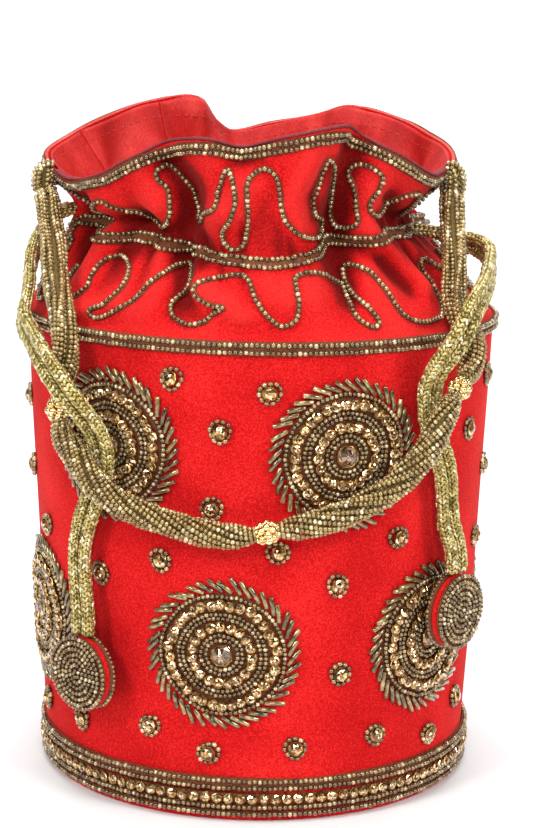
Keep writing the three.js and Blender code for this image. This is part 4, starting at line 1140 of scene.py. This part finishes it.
def make_velvet_top():
    """The gathered sheet with its thickness, and how deep each of its places lies, for its painted shade and
    sheen.
    """
    columns, rows = 480, 54
    angles = full_circle(columns)
    places = np.linspace(0, 1, rows)
    outer = [cloth(angles, place) for place in places]
    inner = [raised(angles, place, -VELVET_THICKNESS) for place in places[::3]]
    heap = Heap()
    shell([*outer, rim_edge(angles, 0.5 * MM), *inner[::-1]], heap)
    depth = np.zeros((len(outer) + 1 + len(inner), columns))
    # Depth map for the painted shade and sheen, lifted by 0.1 so that the whole top is painted a little
    # darker.
    depth[:rows] = shade_and_sheen_depths(np.hypot(np.array(outer)[..., 0], np.array(outer)[..., 1]))
    obj = piece("velvet_top_cloth", heap, [VELVET], "red_velvet", "velvet_top")
    attribute = obj.data.attributes.new(SHADE_AND_SHEEN_ATTRIBUTE, "FLOAT", "POINT")
    attribute.data.foreach_set("value", depth.astype(np.float32).ravel())


def lining_rings(angles, inset):
    """One face of the lining from the middle of the floor up to the rim, inset from its outer face."""
    side_inset = DRUM_WALL + SEAM_GAP
    floor_z = BOARD_THICKNESS + SEAM_GAP
    wall_top = DRUM_HEIGHT - DRUM_WALL
    neck_radius = CHANNEL_RADIUS - CORD_RADIUS - SEAM_GAP * 3
    neck_low, neck_high = CHANNEL_Z - CORD_PITCH * 1.5, CHANNEL_Z + CORD_PITCH * 1.2
    pleat = neck_fold(angles)[:, 0] / DEEPEST_FOLD * MM
    rings = []
    floor_edge = drum_radius(floor_z) - side_inset - inset
    for share in (0.02, 0.25, 0.5, 0.75, 0.93):
        rings.append(polar(angles, floor_edge * share, floor_z + inset))
    for share in np.linspace(0.01, 1, 14):
        z = mix(floor_z + inset, wall_top, share)
        rings.append(polar(angles, drum_radius(z) - side_inset - inset, z))
    for share in (0.25, 0.5, 0.75, 1):
        radius = mix(DRUM_TOP_RADIUS - side_inset, neck_radius, smoothstep(0, 1, share)) + pleat * share
        rings.append(polar(angles, radius - inset, mix(wall_top, neck_low, share)))
    neck = polar(angles, neck_radius + pleat - inset, neck_high)
    rings.append(neck)
    under = VELVET_THICKNESS + SEAM_GAP + inset
    for share in np.linspace(0.12, 1, 16):
        near = raised(angles, mix(0.52, 0.985, share), -under, LINING_RIDGES)
        rings.append(mix(neck, near, smoothstep(0, 0.45, share)))
    return rings


def make_lining():
    """One satin sack with its thickness."""
    columns = 180
    angles = full_circle(columns)
    heap = Heap()
    skin = [*lining_rings(angles, 0), *lining_rings(angles, LINING_THICKNESS)[::-1]]
    heap.add(skin, tube_faces(len(skin), columns))
    obj = piece("satin_lining_sack", heap, [SATIN], "red_satin", "satin_lining")


def make_rim_stitching():
    """A dark strip of painted shade on the rim's front edge, a pale strip of painted sheen on its back edge,
    and the stitches and tucks of the lining.
    """
    trim = Heap()
    # Dark strip: painted shade on the front rim edge. Pale strip: painted sheen on the back rim edge.
    shade_line = rim_edge(np.linspace(-78, 74, 300), 0.4 * MM)
    sheen_line = rim_edge(np.linspace(78, 278, 400), 0.35 * MM)
    for line, width, height, look in ((shade_line, 2.3 * MM, 0.6 * MM, 1), (sheen_line, 1.0 * MM, 0.45 * MM, 2)):
        tape(trim, line, np.broadcast_to([0.0, 0, 1], line.shape), width, height, look, closed=False)
    whole = full_circle(720)
    depth = VELVET_THICKNESS + SEAM_GAP + LINING_THICKNESS
    seam_line = raised(whole, LINING_STITCHES, -depth, LINING_RIDGES)
    inward = -cloth_normal(whole, np.full(len(whole), LINING_STITCHES), LINING_RIDGES)
    places, ahead, up = spaced(seam_line, inward, 3.2 * MM, True)
    trim.copies(STITCH_SHAPE, places, ahead, up, np.array([0.45, 2.2, 0.4]) * MM)
    for angle in LINING_SEAMS:
        rise = np.linspace(0.6, 0.985, 40)
        turn = np.full(40, float(angle))
        tuck = raised(turn, rise, -depth, LINING_RIDGES)
        tape(trim, tuck, -cloth_normal(turn, rise, LINING_RIDGES), 1.6 * MM, 0.9 * MM, 3, closed=False)
    piece("rim_stitching", trim, [STITCHES, EDGE_SHADE, SHEEN_EDGE, SATIN], "red_satin")


def make_drum():
    """The drum's velvet with its small motifs, and the board under it."""
    columns = 288
    angles = full_circle(columns)
    foot = BOARD_THICKNESS + SEAM_GAP
    heights = np.linspace(foot, DRUM_HEIGHT, 46)
    turn = np.radians(angles)

    def slack(z):
        """The glued velvet isn't quite even."""
        return (0.22 * np.sin(3 * turn + z * 40) + 0.15 * np.sin(7 * turn - z * 70 + 1)) * MM

    outer = [polar(angles, drum_radius(z) + slack(z), z) for z in heights]
    inner = [polar(angles, drum_radius(z) - DRUM_WALL, z) for z in (DRUM_HEIGHT, foot)]
    heap = Heap()
    shell([*outer, *inner], heap)
    for panel in PANELS:
        for angle, level in BUTTI:
            add_butti(heap, panel + angle, level * DRUM_HEIGHT)
    piece("drum_velvet", heap, [VELVET, SEEDS, STONES, CUPS], "red_velvet", "drum_wall")

    board = Heap()
    profile = [(0.0, 0.3), (0.0, 0.93), (0.02, 0.98), (0.25, 1.0), (0.9, 1.0), (1.0, 0.99), (1.0, 0.3)]
    rings = [polar(angles, DRUM_BASE_RADIUS * share, BOARD_THICKNESS * rise) for rise, share in profile]
    board.add(rings, tube_faces(len(rings), columns))
    piece("base_board_velvet", board, [VELVET], "red_velvet", "base_board")


def add_butti(heap, degrees, z):
    """A stone in its cup inside a loose ring of seed beads."""
    jitter = RANDOM.normal(0, 0.35, 2) * MM
    turn = full_circle(24, 2 * np.pi) + RANDOM.uniform(0, 1)
    wobble = BUTTI_RING * (1 + 0.06 * np.sin(2 * turn + RANDOM.uniform(0, 6)) + 0.04 * np.sin(3 * turn))
    circle = on_drum(degrees, z, jitter[0] + wobble * np.cos(turn), jitter[1] + wobble * np.sin(turn), 0)
    seed_row(heap, circle, outward(circle), look=1, size=FINE_BEAD, pitch=BUTTI_PITCH)
    add_stones(heap, on_drum(degrees, z, jitter[:1], jitter[1:], 0.3 * MM), BUTTI_STONE, 2, 3)


def add_stones(heap, places, radius, stone_look, cup_look):
    """Faceted stones in metal cups, each tipped and turned a little."""
    count = len(places)
    up = unit(outward(places) + 0.12 * RANDOM.standard_normal((count, 3)))
    along = unit(np.cross(up, RANDOM.standard_normal((count, 3))))
    heap.copies(CUP_SHAPE, places, along, up, np.full(3, radius), cup_look, smooth=False)
    heap.copies(STONE_SHAPE, places, along, up, np.full(3, radius), stone_look, smooth=False)


# Embroidery

def make_medallion(name, degrees, level, node):
    """Rings of seed beads and stones round a smoky stone, inside a pinwheel of bugle beads."""
    z = level * DRUM_HEIGHT
    heap = Heap()
    angle = full_circle(60, 2 * np.pi)

    def ring(radius, height):
        return on_drum(degrees, z, radius * np.cos(angle), radius * np.sin(angle), height * MM)

    ground = [ring(radius * MM, height) for radius, height in GROUND_RINGS]
    heap.add(ground, tube_faces(len(ground), len(angle)), 4)
    drift = RANDOM.uniform(0, 2 * np.pi, 4)
    uneven = 1 + 0.012 * np.sin(2 * angle + drift[0]) + 0.008 * np.sin(5 * angle + drift[1])
    for radius in BEAD_RINGS:
        circle = ring(radius * MM * uneven, 0.5)
        seed_row(heap, circle, outward(circle), size=FINE_BEAD, pitch=FINE_PITCH)
    for radius, count in STONE_RINGS:
        turn = 2 * np.pi * (np.arange(count) + RANDOM.uniform(-0.1, 0.1, count)) / count + drift[2]
        reach = radius * MM * (1 + 0.015 * RANDOM.standard_normal(count))
        places = on_drum(degrees, z, reach * np.cos(turn), reach * np.sin(turn), 1.2 * MM)
        add_stones(heap, places, STONE_RADIUS, 1, 3)
    centre = on_drum(degrees, z, np.zeros(1), np.zeros(1), 0.6 * MM)
    up = outward(centre)
    level_way = np.cross(up, [[0, 0, 1.0]])
    heap.copies(CUP_SHAPE, centre, level_way, up, np.array([3.3, 3.3, 2.6]) * MM, 3, smooth=False)
    heap.copies(CENTRE_SHAPE, centre, level_way, up, np.array([3.5, 3.5, 3.2]) * MM, 5, smooth=False)
    add_pinwheel(heap, degrees, z)
    piece(name, heap, [SEEDS, STONES, BUGLES, CUPS, COUCHING_AND_SHADE, SMOKY], "stones", node)


def add_pinwheel(heap, degrees, z):
    """Bugle beads that lean round a medallion."""
    turn = 2 * np.pi * (np.arange(BUGLE_COUNT) + RANDOM.uniform(-0.08, 0.08, BUGLE_COUNT)) / BUGLE_COUNT
    lean = BUGLE_SLANT + 0.07 * RANDOM.standard_normal(BUGLE_COUNT)
    reach = BUGLE_LENGTH * (1 + 0.05 * RANDOM.standard_normal(BUGLE_COUNT))
    start = np.stack([BUGLE_FOOT * np.cos(turn), BUGLE_FOOT * np.sin(turn)], -1)
    ray = np.stack([np.cos(turn + lean), np.sin(turn + lean)], -1)
    ends = []
    for share in (0, 1):
        u, v = (start + ray * reach[:, None] * share).T
        ends.append(on_drum(degrees, z, u, v, (0.85 - 0.1 * share) * MM))
    middle, along = (ends[0] + ends[1]) / 2, ends[1] - ends[0]
    girth = np.full(BUGLE_COUNT, BUGLE_GIRTH)
    heap.copies(BUGLE_SHAPE, middle, along, outward(middle), np.stack([girth, reach, girth], -1), 2)


def make_medallions():
    for row, angles in MEDALLIONS.items():
        placed = [panel + angle for panel in PANELS for angle in angles]
        for number, degrees in enumerate(placed, 1):
            node = f"{row}_medallion_{number}"
            make_medallion(f"{node}_beads", degrees, MEDALLION_LEVELS[row], node)


def cloth_line(angles, places):
    """A line on the velvet and its outward directions."""
    return cloth(angles, places), cloth_normal(angles, places)


def make_cloth_rows(name, place, start, stop, node, back_rise=0.0, hook=()):
    """A pair of seed bead rows round the gathered velvet, with couching thread between that also paints the
    shade between the beads.
    """
    heap = Heap()
    closed = stop - start >= 360
    angles = np.linspace(start, stop, int((stop - start) * 3), endpoint=not closed)
    places = place + back_rise * smoothstep(80, 110, np.abs(np.mod(angles + 180, 360) - 180))
    add_row_pair(heap, angles, places, (0, ROW_STEP), closed)
    if len(hook):
        add_hook(heap, through(hook))
    piece(name, heap, [SEEDS, COUCHING_AND_SHADE], "seed_beads", node)


def add_row_pair(heap, angles, places, aside, closed):
    """Bead rows to either side of a line on the cloth, aside by an angle and a place, over thread that also
    paints their shade.
    """
    for sign in (-1, 1):
        line, ups = cloth_line(angles + sign * aside[0], places + sign * aside[1])
        seed_row(heap, line, ups, closed)
    line, ups = cloth_line(angles, places)
    tape(heap, line, ups, 4.0 * MM, TAPE_HEIGHT, 1, closed)


def add_hook(heap, path):
    """The end of a pair of rows, where it turns down beside the slit."""
    scale = np.array([NECK_ARC, TOP_RUN])
    step = np.gradient(path * scale, axis=0)
    sideways = unit(np.stack([-step[:, 1], step[:, 0]], -1)) * ROW_STEP * TOP_RUN / scale
    add_row_pair(heap, *path.T, sideways.T, closed=False)


def make_drum_rows(name, heights, node, ground=True):
    """Seed bead rows round the drum, on one band of couching thread or each on its own; the thread also
    paints the shade between beads.
    """
    heap = Heap()
    angles = full_circle(720)
    for z in heights:
        line = polar(angles, drum_radius(z) + 0.3 * MM, z)
        seed_row(heap, line, outward(line))
    bands = [(z, 1.9 * MM) for z in heights]
    if ground:
        bands = [(sum(heights) / len(heights), 4.4 * MM)]
    for z, width in bands:
        line = polar(angles, drum_radius(z) + 0.2 * MM, z)
        tape(heap, line, outward(line), width, TAPE_HEIGHT, 1)
    piece(name, heap, [SEEDS, COUCHING_AND_SHADE], "seed_beads", node)


def make_stone_chain(z):
    """Stones in cups side by side round the foot."""
    heap = Heap()
    pitch = CHAIN_STONE * 1.04
    count = int(2 * np.pi * drum_radius(z) / pitch)
    angles = 360 * np.arange(count) / count
    add_stones(heap, polar(angles, drum_radius(z) + 0.7 * MM, z), CHAIN_STONE * 0.49, 0, 1)
    line = polar(full_circle(360), drum_radius(z) + 0.2 * MM, z)
    tape(heap, line, outward(line), CHAIN_STONE, TAPE_HEIGHT, 2)
    piece("base_stone_chain_cups", heap, [STONES, CUPS, COUCHING_AND_SHADE], "stones", "base_stone_chain")


def back_loops(start, stop, high, low):
    """Even loops for the side that the front's list doesn't reach."""
    step = (stop - start) / (2 * BACK_LOOPS)
    turns = []
    for number in range(2 * BACK_LOOPS + 1):
        angle, place = start + number * step, high if number % 2 == 0 else low
        rise = 0.07 * (1 if place == max(high, low) else -1)
        turns += [[angle - step * 0.36, place - rise], [angle, place], [angle + step * 0.36, place - rise]]
    return turns


def make_meander(name, front, back, node):
    """A line of beads couched in loops on the gathered velvet."""
    course = np.array([*front, *back_loops(*back)])
    scale = np.array([NECK_RADIUS * np.pi / 180, RIM_RISE * 1.3])
    closing = course[0] + [360, 0]
    drawn = through(np.vstack([course, closing]) * scale, 8) / scale
    line, ups = cloth_line(drawn[:, 0], drawn[:, 1])
    heap = Heap()
    seed_row(heap, line, ups, closed=False)
    tape(heap, line, ups, 1.7 * MM, 0.45 * MM, 1, closed=False)
    piece(name, heap, [SEEDS, COUCHING_AND_SHADE], "seed_beads", node)


def make_embroidery():
    make_medallions()
    make_cloth_rows("rim_bead_rows", RIM_BEADS_PLACE, 0, 360, "rim_beads", back_rise=RIM_BEADS_BACK_RISE)
    make_cloth_rows("neck_bead_rows_front", NECK_BEADS_PLACE, -80, 80, "neck_beads_front", hook=NECK_HOOK)
    make_cloth_rows("neck_bead_rows_back", NECK_BEADS_PLACE, 96, 264, "neck_beads_back")
    make_drum_rows("seam_bead_rows", SEAM_ROWS, "seam_beads")
    make_drum_rows("base_upper_bead_rows", BASE_UPPER_ROWS, "base_beads_upper")
    make_stone_chain(CHAIN_Z)
    make_drum_rows("base_lower_bead_rows", BASE_LOWER_ROWS, "base_beads_lower", ground=False)
    make_meander("upper_meander_beads", UPPER_MEANDER, UPPER_BACK, "upper_meander")
    make_meander("lower_meander_beads", LOWER_MEANDER, LOWER_BACK, "lower_meander")


add_camera()
add_stage()
add_light()
make_handle()
for cord_side in ("left", "right"):
    make_drawcord(cord_side, make_tassel(cord_side))
make_velvet_top()
make_lining()
make_rim_stitching()
make_drum()
make_embroidery()
bpy.context.scene.view_settings.view_transform = "Standard"
